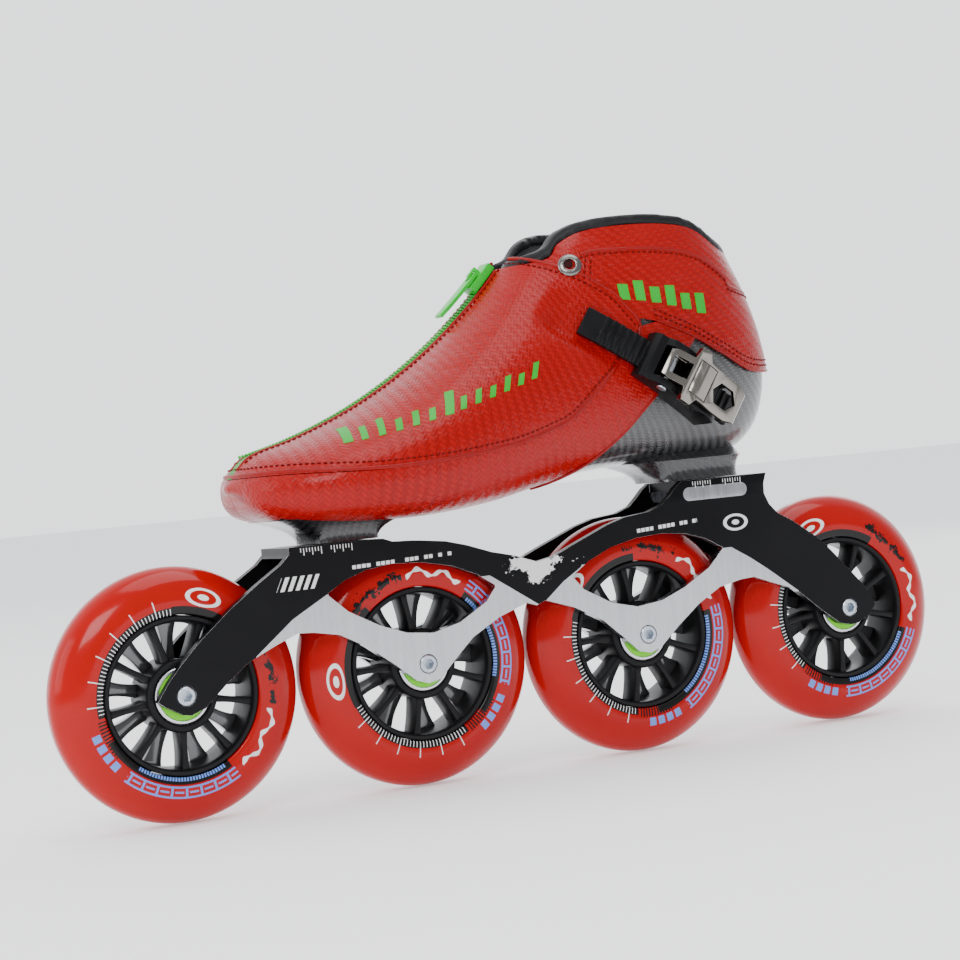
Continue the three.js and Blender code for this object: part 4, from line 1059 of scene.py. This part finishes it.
def make_skin(leather, tape_cloth, below_collar, notch):
    """The outer leather: two covers with the zip's tape between them, the rand and the cuff."""
    skin_inner = last_solid("skin_inner", GAP)
    skin = hollow("skin", last_solid("skin_outer", SKIN_OUT), skin_inner)
    cover_zone = zone("cover_zone", [*COVER_SEAM, *COVER_EDGE[1:], (-3.5, 260), (150, 260), (150, 131.5)])
    cuff_front = CUFF_EDGE[18:][::-1]
    rand_zone = zone("rand_zone", [
        (140, 90), *lift_line(COVER_SEAM, -GAP), *lift_line(cuff_front, -GAP),
        *RAND_EDGE[::-1], (22, 90)])
    cuff_zone = zone("cuff_zone", [
        *CUFF_EDGE, (-50.3, 182.3), *(COVER_EDGE[1:] + np.array([-GAP, GAP])), (-3.8, 260), (-150, 260)])
    cover = cut_out(skin, "cover", [cover_zone, below_collar])
    strip = box_zone("strip", -60, 150, 100, 300, -ZIP_HALF_GAP, ZIP_HALF_GAP)
    for name, right, left in (("zip_cover_left", 0, WIDE), ("zip_cover_right", -WIDE, 0)):
        half = box_zone("half", -150, 150, 90, 300, right, left)
        dress(cut_out(cover, f"{name}_leather", [half], [strip]), leather, "red_leather", name)
        discard(half)
    tape_zone = box_zone("tape_zone", -60, 150, 100, 300, -ZIP_HALF_GAP + GAP, ZIP_HALF_GAP - GAP)
    dress(cut_out(cover, "zip_tape_cloth", [tape_zone]), tape_cloth, "green_zip", "zipper_tape")
    sole_room = box_zone("sole_room", -10, 110, 90, 118, -22, 22)
    dress(cut_out(skin, "toe_rand_leather", [rand_zone], [sole_room]), leather, "red_leather", "toe_rand")
    cuff = cut_out(skin, "ankle_cuff_leather", [cuff_zone, below_collar], [notch])
    dress(cuff, leather, "red_leather", "ankle_cuff")
    discard(skin, skin_inner, cover_zone, rand_zone, cuff_zone, cover, strip, tape_zone, sole_room)


def make_boot(materials):
    below_collar = zone("below_collar", [*COLLAR_LINE, (-150, 90), (150, 90), (150, 209)])
    notch = box_zone("notch", -45, 40, 195, 300, -13, 13)
    lining_cloth = materials["black_lining"]
    make_skin(materials["red_leather"], materials["green_tape"], below_collar, notch)

    shell_inner = last_solid("shell_inner", -SHELL_WALL, 0.6)
    wall = hollow("wall", last_solid("shell_outer", 0), shell_inner)
    upper_zone = zone("upper_zone", [*SHELL_LINE, (-140, 300), (150, 300)])
    lace_slot = box_zone("lace_slot", -40, 80, 150, 300, -8, 8)
    inner = cut_out(wall, "inner_upper_leather", [below_collar, upper_zone], [lace_slot, notch])
    finish(inner, materials["black_leather"], "skate", "black_leather", "inner_upper")

    liner_inner = last_solid("liner_inner", LINER_IN, 1.2)
    lining = hollow("lining", last_solid("liner_outer", LINER_OUT, 0.7), liner_inner)
    tongue_room = box_zone("tongue_room", -40, 76, 152, 300, -12.3, 12.3)
    liner = cut_out(lining, "liner_cloth", [below_collar], [tongue_room])
    dress(liner, lining_cloth, "black_lining", "liner")

    make_shell(materials, wall, shell_inner)
    make_footbed(lining_cloth)
    make_collar(materials["black_leather"])
    make_tongue(materials["black_leather"], lining)
    discard(wall, lining, shell_inner, liner_inner, below_collar, notch, upper_zone, lace_slot, tongue_room)
    make_seams(materials)
    make_marks(materials)


def flared_block(stations):
    """A mounting block: rounded rectangles of [z, rear, front, half width, middle], eased together."""
    table = np.array(stations, float)
    around, levels = 64, 22
    power = 2 / 5
    points = []
    for i in range(levels):
        z, rear, front, half, centre_y = (
            np.interp(i / (levels - 1), np.linspace(0, 1, len(table)), table[:, k]) for k in range(5))
        for k in range(around):
            a = 2 * math.pi * k / around
            c = math.copysign(abs(math.cos(a)) ** power, math.cos(a))
            s = math.copysign(abs(math.sin(a)) ** power, math.sin(a))
            points.append((((rear + front) / 2 + (front - rear) / 2 * c) * MM,
                           (centre_y + half * s) * MM, z * MM))
    return mesh_piece("block", points, ring_faces(around, levels))


def flare(foot, crown, root, foot_z, crown_z, root_z):
    """Stations of a block: from its foot it curves out to its crown under the sole, then goes in."""
    dx, dy = boot_origin[0] / MM, boot_origin[1] / MM
    stations = []
    for share in np.linspace(0, 1, 8):
        grown = share ** 2.2
        row = [foot_z + (crown_z - foot_z) * share]
        row += [a + (b - a) * grown for a, b in zip(foot, (crown[0] + dx, crown[1] + dx, crown[2]))]
        stations.append([*row, dy * share])
    stations.append([root_z, root[0] + dx, root[1] + dx, root[2], dy])
    return stations


# each block's rear, front and half width at its foot, crown and root, its deck, and crown and root heights
BLOCKS = (
    ((64.5, 92.8, 15), (43, 112, 27), (48, 108, 22), FRONT_DECK, 113.5, 119),
    ((-106.2, -66, 15), (-107.5, -50, 20), (-104, -52, 13), REAR_DECK, 122.3, 129),
)


def make_shell(materials, wall, shell_inner):
    shell_zone = zone("shell_zone", [*SHELL_LINE, (-140, 90), (140, 90)])
    shell = cut_out(wall, "carbon_shell", [shell_zone])
    lay_cloth(shell)
    finish(shell, materials["carbon"], "skate", "carbon", "boot_shell", angle=40)
    blocks = []
    for foot, crown, root, deck, crown_z, root_z in BLOCKS:
        one = flared_block(flare(foot, crown, root, deck / MM + GAP, crown_z, root_z))
        blocks.append(combine(one, "DIFFERENCE", shell_inner))
    solid = join("mounting_blocks", blocks)
    lay_cloth(solid)
    finish(solid, materials["carbon_dark"], "skate", "carbon", angle=40)
    discard(shell_zone)


def make_footbed(cloth):
    bed = last_solid("bed", LINER_IN - GAP, 1.3)
    line = smooth_line([(140, 122), (60, 121.5), (20, 123.5), (-10, 129), (-50, 132.5), (-140, 132.5)], 6)
    bed_zone = zone("bed_zone", [*line, (-140, 90), (140, 90)])
    dress(cut_out(bed, "footbed_cloth", [bed_zone]), cloth, "black_lining", "footbed")
    discard(bed, bed_zone)


PAD_VOXEL = 1.6
PAD_PRESSURE = 4.0
PAD_STEPS = 20


def puffed(obj, cap):
    """Fills a closed form with air as cloth, and keeps every point within cap of where it began."""
    modify(obj, "REMESH", mode="VOXEL", voxel_size=PAD_VOXEL * MM)
    rest = np.zeros(len(obj.data.vertices) * 3)
    obj.data.vertices.foreach_get("co", rest)
    cloth = obj.modifiers.new("cloth", "CLOTH")
    cloth.settings.use_pressure = True
    cloth.settings.uniform_pressure_force = PAD_PRESSURE
    cloth.settings.effector_weights.gravity = 0
    for step in range(1, PAD_STEPS + 1):
        bpy.context.scene.frame_set(step)
    depsgraph = bpy.context.evaluated_depsgraph_get()
    swollen = obj.evaluated_get(depsgraph).to_mesh()
    moved = np.zeros(len(swollen.vertices) * 3)
    swollen.vertices.foreach_get("co", moved)
    obj.evaluated_get(depsgraph).to_mesh_clear()
    obj.modifiers.remove(cloth)
    bpy.context.scene.frame_set(1)
    shift = (moved - rest).reshape(-1, 3)
    length = np.maximum(np.linalg.norm(shift, axis=1), 1e-9)[:, None]
    shift *= np.minimum(1, cap * MM / length)
    obj.data.vertices.foreach_set("co", (rest.reshape(-1, 3) + shift).ravel())
    obj.data.update()
    modify(obj, "SMOOTH", factor=0.5, iterations=6)
    modify(obj, "SUBSURF", levels=1, render_levels=1)


def make_collar(leather):
    """The padded roll round the ankle's opening, puffed between its two skins."""
    collar = last_solid("collar_roll", SKIN_OUT + 0.2)
    inner = last_solid("collar_inner", LINER_IN - 0.6, 1.2)
    band = zone("collar_band", [*lift_line(COLLAR_LINE, -0.8), *lift_line(COLLAR_LINE, GAP + 4.2)[::-1]])
    notch = box_zone("collar_notch", -45, 40, 195, 300, -13.5, 13.5)
    combine(collar, "DIFFERENCE", inner, notch)
    combine(collar, "INTERSECT", band)
    puffed(collar, 1.2)
    finish(collar, leather, "skate", "black_leather", "collar_pad", angle=60)
    discard(inner, band, notch)


def make_tongue(leather, lining):
    tongue_zone = box_zone("tongue_zone", -40, 75.5, 152.6, 213.5, -11.7, 11.7)
    tongue = cut_out(lining, "tongue_pad", [tongue_zone])
    puffed(tongue, 1.0)
    finish(tongue, leather, "skate", "black_leather", "tongue", angle=60)
    discard(tongue_zone)


def zip_line(half_gap, lift, side, toe_x=119.0):
    """The zip's edge: a line down the instep a little to one side of the middle."""
    xs = np.linspace(-3, toe_x, 140)
    us = rib_through(xs, np.array([instep(x) for x in xs]))
    _, _, _, _, left, right = rib_at(us)
    _, top_power, _ = rib_shape(us)
    half = left if side > 0 else right
    angle = np.arccos(np.clip(half_gap / half, 0, 0.95) ** (1 / top_power))
    v = angle if side > 0 else math.pi - angle
    return lifted(us, v, lift), last_normal(us, v)


THREAD_LIFT = SKIN_OUT + 0.1


def make_seams(materials):
    """Piping on the edges of the leather and rows of stitches beside them."""
    seam = fine(COVER_SEAM, 0.6)
    toe_part = fine([(124, 131.5), (112, 131.3)], 0.1)
    seam = np.vstack([toe_part, seam[seam[:, 0] < 112]])[::-1]
    cuff_edge = CUFF_EDGE[::-1]
    heel = fine(cuff_edge[cuff_edge[:, 0] > -135])
    band = fine(CUFF_BAND)
    piping = [
        tube(*round_path(lift_line(seam, 0.1), SKIN_OUT - 0.25), 0.85),
        tube(*round_path(lift_line(heel, 0.2), SKIN_OUT - 0.35), 0.8),
        tube(*round_path(band, SKIN_OUT - 0.45), 0.8),
    ]
    rows = [round_path(lift_line(line, by), THREAD_LIFT)
            for line, by in ((seam, 2.3), (heel, 2.4), (heel, 4.6), (band, -1.6))]
    inside = COVER_EDGE + np.array([1.8, -2.2])
    tab_rows = ([(-33.3, 207), (-30.8, 197.5)], [(-31.3, 207.6), (-28.8, 199.5)])
    for side in (1, -1):
        piping.append(tube(*surface_path(fine(COVER_EDGE), side, SKIN_OUT - 0.3), 0.8))
        piping.append(tube(*zip_line(ZIP_HALF_GAP + 0.5, SKIN_OUT - 0.3, side), 0.8))
        piping.append(tube(*surface_path(fine(lift_line(RAND_EDGE, 0.3)), side, SKIN_OUT - 0.35), 0.75))
        rows.append(zip_line(ZIP_HALF_GAP + 3.2, THREAD_LIFT, side, 117))
        rows += [surface_path(fine(line), side, THREAD_LIFT) for line in (inside[4:], *tab_rows)]
    stitched = join("stitching", [stitches(*row) for row in rows])
    finish(stitched, materials["red_thread"], "skate", "red_leather", angle=80)
    edges = join("leather_edges", piping)
    finish(edges, materials["red_edge"], "skate", "red_leather", angle=80)


MARK_THICK = 0.22


def patch(corner_lines, side):
    """A thin raised mark on the boot between two side-view lines."""
    first, second = (fine(line) for line in corner_lines)
    count = max(len(first), len(second), 4)
    shares = np.linspace(0, 1, count)

    def even_line(line):
        marks = np.linspace(0, 1, len(line))
        return np.stack([np.interp(shares, marks, line[:, i]) for i in range(2)], 1)

    first, second = even_line(first), even_line(second)
    across = 5
    rows = [first + (second - first) * k / (across - 1) for k in range(across)]
    top, bottom = [], []
    for row in rows:
        u, v = on_side(row[:, 0], row[:, 1], side)
        top.append(lifted(u, v, SKIN_OUT + MARK_THICK))
        bottom.append(lifted(u, v, SKIN_OUT - GAP))
    points = np.vstack(top + bottom)
    layer = across * count
    faces = []
    for k in range(across - 1):
        for i in range(count - 1):
            a = k * count + i
            faces.append((a, a + 1, a + count + 1, a + count))
            faces.append((layer + a, layer + a + count, layer + a + count + 1, layer + a + 1))
    rim = list(range(count)) + [k * count + count - 1 for k in range(1, across)]
    rim += [(across - 1) * count + i for i in range(count - 2, -1, -1)]
    rim += [k * count for k in range(across - 2, 0, -1)]
    for i, a in enumerate(rim):
        b = rim[(i + 1) % len(rim)]
        faces.append((a, b, layer + b, layer + a))
    return mesh_piece("bar", points, faces)


# how tall each bar on a cover is, from the toe; the first and the middle one are wider
COVER_BARS = (6, 5, 6.5, 4.5, 5.5, 4.5, 9, 5, 5.5, 4.5, 6, 4.5, 6.5)
CUFF_BARS = 6


def make_marks(materials):
    """Plain green bars on the covers and the cuff."""
    marks = []
    for side in (1, -1):
        for i, tall in enumerate(COVER_BARS):
            share = i / (len(COVER_BARS) - 1)
            x = 85 - 79 * share
            z = 139.5 + 20 * share ** 1.35
            wide = 2.6 if i not in (0, 6) else 3.6
            left = [(x, z), (x - 0.42 * tall, z + tall)]
            right = [(x - wide, z + 0.5), (x - wide - 0.42 * tall, z + tall + 0.7)]
            marks.append(patch((left, right), side))
        for i in range(CUFF_BARS):
            x = -42.5 - 7.0 * i
            z = 190.2 - 7.4 * (i / (CUFF_BARS - 1)) ** 1.5
            tall = 8.4 if i % 2 else 6.6
            left = [(x, z), (x + 0.4, z + tall)]
            right = [(x - 4.4, z - 0.4), (x - 4, z + tall - 0.3)]
            marks.append(patch((left, right), side))
    finish(join("green_bars", marks), materials["green_mark"], "skate", "red_leather", angle=60)


# ---------------------------------------------------------------- zip
def zip_point(angle, height, y):
    """A point over the zip's arc: degrees about its centre, millimetres out from the tape and across."""
    a = math.radians(angle)
    r = ZIP_RADIUS - height
    return to_row((ZIP_CENTRE[0] + r * math.cos(a), y, ZIP_CENTRE[1] + r * math.sin(a)))


# the zip's arc in degrees, the teeth's pitch, and a tooth's stations: out from the middle, off the tape
ZIP_ARC = (-138.2, -101.6)
TOOTH_PITCH = math.degrees(1.55 / ZIP_RADIUS)
TOOTH_STATIONS = ((0.35, 0.15), (0.9, 0.62), (1.7, 0.62), (2.35, 0.3))


def make_zip(green):
    verts, faces = [], []
    sides = 6
    for i in range(int((ZIP_ARC[1] - ZIP_ARC[0]) / TOOTH_PITCH)):
        for half, shift in ((1, 0.5), (-1, 0)):
            angle = ZIP_ARC[0] + (i + shift) * TOOTH_PITCH
            faces += ring_faces(sides, len(TOOTH_STATIONS), len(verts))
            for y, height in TOOTH_STATIONS:
                for k in range(sides):
                    a = 2 * math.pi * k / sides
                    turn = angle + math.degrees(0.42 * math.cos(a) / ZIP_RADIUS)
                    verts.append(zip_point(turn, height + 0.36 * math.sin(a), half * y))
    finish(mesh_piece("zip_coil", verts, faces), green, "skate", "green_zip", angle=70)
    refined("zip_slider", green, "slider", "green_zip", 0.45, 3)
    refined("zip_pull", green, "pull", "green_zip", 0.4, 3)


# ---------------------------------------------------------------- wheels
def make_wheel(materials, place, spin):
    body = f"{place}_wheel"
    centre = Vector(joints[f"{place}_wheel_spin"]["pos_m"]) / MM
    flank = [(31.3, 10.9), (31.9, 11.5), (34, 11.75), (37.5, 11.9), (41, 11.1), (44.5, 9.3), (47.2, 7),
             (48.8, 5), (49.7, 3), (50, 1.4)]
    upper = smooth_line(flank, 5)
    lower = upper[::-1] * np.array([1, -1])
    tyre = turned(f"{place}_tyre_urethane", [*upper, *lower], centre, 128)
    finish(tyre, urethane(place, spin), body, "red_urethane", f"{place}_tyre", angle=50)
    make_core(materials, place, centre, spin, body)
    make_bearings(materials, place, centre, body)


def core_profile():
    half, hub_half = 11.3, 11.8
    rim = [(31, -half + 0.5), (31, half - 0.5), (30.6, half), (29.4, half), (28.9, half - 0.5),
           (28.5, half - 2.4), (28.1, 0), (28.5, -half + 2.4), (28.9, -half + 0.5), (29.4, -half),
           (30.6, -half)]
    hub = [(14.4, -hub_half + 1.6), (14, 0), (14.4, hub_half - 1.6), (14, hub_half - 0.5),
           (13.5, hub_half), (12, hub_half), (11.3, hub_half - 0.6), (11.3, 4.7), (9.3, 4.7),
           (9.3, -4.7), (11.3, -4.7), (11.3, -hub_half + 0.6), (12, -hub_half), (13.5, -hub_half),
           (14, -hub_half + 0.5)]
    return rim, hub


SPOKES = 9
SPOKE_START = 28.5
SPOKE_REACH = (13.6, 29)


def spoke(name, centre, angle, wide_in, wide_out, y_low, y_high):
    """One spoke: a bar from hub to rim that widens at both ends."""
    stations = np.linspace(0, 1, 9)
    points = []
    for t in stations:
        r = SPOKE_REACH[0] + (SPOKE_REACH[1] - SPOKE_REACH[0]) * t
        waist = 1 - 0.28 * math.sin(math.pi * t)
        half = (wide_in + (wide_out - wide_in) * t) / 2 * waist
        for s, y in ((-half, y_low), (half, y_low), (half, y_high), (-half, y_high)):
            x = r * math.cos(angle) - s * math.sin(angle)
            z = r * math.sin(angle) + s * math.cos(angle)
            points.append(((centre[0] + x) * MM, (centre[1] + y) * MM, (centre[2] + z) * MM))
    obj = mesh_piece(name, points, ring_faces(4, len(stations)))
    modify(obj, "BEVEL", width=0.45 * MM, segments=2, limit_method="ANGLE", angle_limit=math.radians(50))
    return obj


def make_core(materials, place, centre, spin, body):
    rim_profile, hub_profile = core_profile()
    parts = [turned("rim", rim_profile, centre, 96), turned("hub", hub_profile, centre, 72)]
    for i in range(SPOKES):
        # seen from the left the toe is at the left hand, so the angle is taken from the heel side
        angle = math.pi - math.radians(SPOKE_START + 360 / SPOKES * i + spin)
        parts.append(spoke("spoke", centre, angle, 3.1, 3.1, -1.5, 9.6))
        parts.append(spoke("rear_spoke", centre, angle + math.pi / SPOKES, 5.5, 8.5, -9.8, -3.5))
    for part in parts:
        glossy = part.name.startswith("rear_spoke")
        part.data.materials.append(materials["glossy_nylon" if glossy else "black_nylon"])
    core = join(f"{place}_core_moulding", parts)
    finish(core, None, body, "black_nylon", f"{place}_core", angle=40)


def make_bearings(materials, place, centre, body):
    for name, side in (("left", 1), ("right", -1)):
        inner, outer = 5.0, 12.0
        race = [(11, inner), (11, outer - 0.35), (10.65, outer), (9.9, outer), (9.6, outer - 0.4),
                (9.3, outer - 0.5), (9.3, inner)]
        seal = [(9.5, outer - 0.75), (9.5, outer - 0.35), (8.9, outer - 0.2), (7.4, outer - 0.3),
                (6.6, outer - 0.2), (6.0, outer - 0.4), (6.0, outer - 0.8)]
        ring = turned("race", [(r, side * y) for r, y in race], centre, 64)
        shield = turned("shield", [(r, side * y) for r, y in seal], centre, 64)
        ring.data.materials.append(materials["bearing_steel"])
        shield.data.materials.append(materials["bearing_seal"])
        whole = join(f"{place}_bearing_{name}", [ring, shield])
        finish(whole, None, body, "bearing_steel", f"{place}_bearing_outer_{name}", angle=30)
        core = [(5.6, inner), (5.6, outer - 0.3), (5.35, outer), (4.2, outer), (4.0, outer - 0.2),
                (4.0, inner)]
        sleeve = turned(f"{place}_inner_race_{name}", [(r, side * y) for r, y in core], centre, 48)
        finish(sleeve, materials["bearing_steel"], "skate", "bearing_steel",
               f"{place}_bearing_inner_{name}", angle=30)


AXLE_SOCKET = 2.3


def make_axle(steel, place):
    centre = Vector(joints[f"{place}_wheel_spin"]["pos_m"]) / MM
    half = FRAME_HALF_WIDTH / MM
    end = half + 0.5
    profile = [(0.001, end - 0.05), (3.2, end - 0.05), (3.6, end - 0.4), (3.7, end - 0.8), (3.7, -half + 2),
               (5.5, -half + 2), (5.8, -half + 1.7), (5.8, -half + 0.4), (5.4, -half), (0.001, -half)]
    axle = turned(f"{place}_axle_turned", profile, centre, 64)
    corners = [(centre.x + AXLE_SOCKET * math.cos(a), centre.z + AXLE_SOCKET * math.sin(a))
               for a in np.arange(6) * math.pi / 3]
    for y0, y1 in ((end - 4, end + 1), (-half - 1, -half + 4)):
        socket = prism("socket", corners, y0, y1)
        combine(axle, "DIFFERENCE", socket)
        discard(socket)
    finish(axle, steel, "skate", "zinc_steel", f"{place}_axle", angle=30)


# ---------------------------------------------------------------- frame
def make_frame(materials):
    """The CAD frame's own outline, with its curves made smooth and its edges chamfered bright."""
    obj = copy_of(frame["nodes"]["frame"], "frame_machined")
    edit(obj, merge, lambda: bpy.ops.mesh.dissolve_limited(angle_limit=math.radians(0.5)))
    obj.data.materials.clear()
    obj.data.materials.append(materials["black_alloy"])
    obj.data.materials.append(materials["bright_alloy"])
    modify(obj, "BEVEL", width=0.45 * MM, segments=1, limit_method="ANGLE",
           angle_limit=math.radians(50), material=1, use_clamp_overlap=True)
    finish(obj, None, "skate", "black_alloy", "frame", angle=30)


def buckle_frame():
    """The buckle's own directions: along the strap to the heel, across it, and out."""
    origin = Vector(joints["strap_draw"]["pos_m"]) + Vector((0, 170 * MM, 0))
    across = Vector(joints["strap_draw"]["axis"]).normalized()
    out = Vector((0, 1, 0))
    along = Vector((across.x, 0, across.z)).cross(out).normalized()
    along = along if along.x < 0 else -along
    return origin, along, across, out


def buckle_bar(name, outline, start, end):
    """A side outline of [along, out], solid between two places across the buckle, in millimetres."""
    origin, along, across, out = buckle_frame()
    return between(name, *([origin + (along * s + out * n + across * v) * MM for s, n in outline]
                           for v in (start, end)))


def make_lever(materials):
    """The lever with the fine grooves that frame its middle panel, and a wider front window."""
    lever = rounded("buckle_lever", 0.6, 3)
    panel = [(4.6, 12.2), (10, 11.6), (14.4, 10.35), (14.4, 16), (4.6, 16)]
    cuts = [
        buckle_bar("groove", [(4.4, 12.2), (4.95, 12.15), (4.95, 16), (4.4, 16)], -7.4, 7.4),
        buckle_bar("groove", [(14.1, 10.4), (14.6, 10.3), (14.6, 16), (14.1, 16)], -7.4, 7.4),
        buckle_bar("groove", panel, 7, 7.5),
        buckle_bar("groove", panel, -7.5, -7),
        buckle_bar("window", [(-5.6, 0), (2.2, 0), (2.2, 20), (-5.6, 20)], -3.6, 3.6),
    ]
    combine(lever, "DIFFERENCE", *cuts)
    discard(*cuts)
    finish(lever, materials["gunmetal"], "lever", "gunmetal", "buckle_lever")


def make_eyelet_shade(dark, side):
    """A near-black disc down an eyelet's hole: painted shade over the red leather below it."""
    node = frame["nodes"][f"eyelet_{side}"]
    points = np.array([v.co for v in node.data.vertices])
    centre = (points.max(0) + points.min(0)) / 2
    axis = np.linalg.svd(points - points.mean(0))[2][2]
    axis *= 1 if axis[1] * centre[1] > 0 else -1
    hole = np.linalg.norm(np.cross(points - centre, axis), axis=1).min()
    along = Vector(axis)
    bpy.ops.mesh.primitive_cylinder_add(vertices=32, radius=hole * 0.97, depth=0.5 * MM)
    shade_disc = bpy.context.object
    shade_disc.name = f"eyelet_shade_disc_{side}"
    turn = along.to_track_quat("Z", "Y").to_matrix().to_4x4()
    rise = ((points - centre) @ axis).max() - 0.75 * MM
    shade_disc.data.transform(Matrix.Translation(Vector(centre) + along * rise - shade_disc.location) @ turn)
    finish(shade_disc, dark, "skate", "red_leather")


def make_hardware(materials):
    steel = [("base_rivet", 0.2), ("lever_pin", 0.2)]
    for place in ("front", "rear"):
        steel += [(f"mount_washer_{place}", 0.25), (f"mount_bolt_{place}", 0.3)]
        refined(f"mount_insert_{place}", materials["bearing_steel"], "skate", "bearing_steel", 0.2)
    steel += [(f"{place}_spacer", 0.2) for place in WHEEL_TURNS]
    for node, bevel in steel:
        refined(node, materials["zinc_steel"], "skate", "zinc_steel", bevel)
    for side in ("left", "right"):
        refined(f"eyelet_{side}", materials["nickel"], "skate", "nickel", 0.25)
        # a near-black disc in each eyelet's hole, painted shade
        make_eyelet_shade(materials["eyelet_hole_shade"], side)
    make_lever(materials)
    plastic = materials["black_plastic"]
    refined("buckle_base", plastic, "skate", "black_plastic", 0.6, 3)
    refined("buckle_pawl", plastic, "pawl", "black_plastic", 0.3)
    refined("ladder_strap", plastic, "strap", "black_plastic", 0.22)


make_camera()
make_studio()
finishes = make_materials()
make_boot(finishes)
make_zip(finishes["green_zip"])
for wheel_place, wheel_turn in WHEEL_TURNS.items():
    make_wheel(finishes, wheel_place, wheel_turn)
    make_axle(finishes["zinc_steel"], wheel_place)
make_frame(finishes)
make_hardware(finishes)
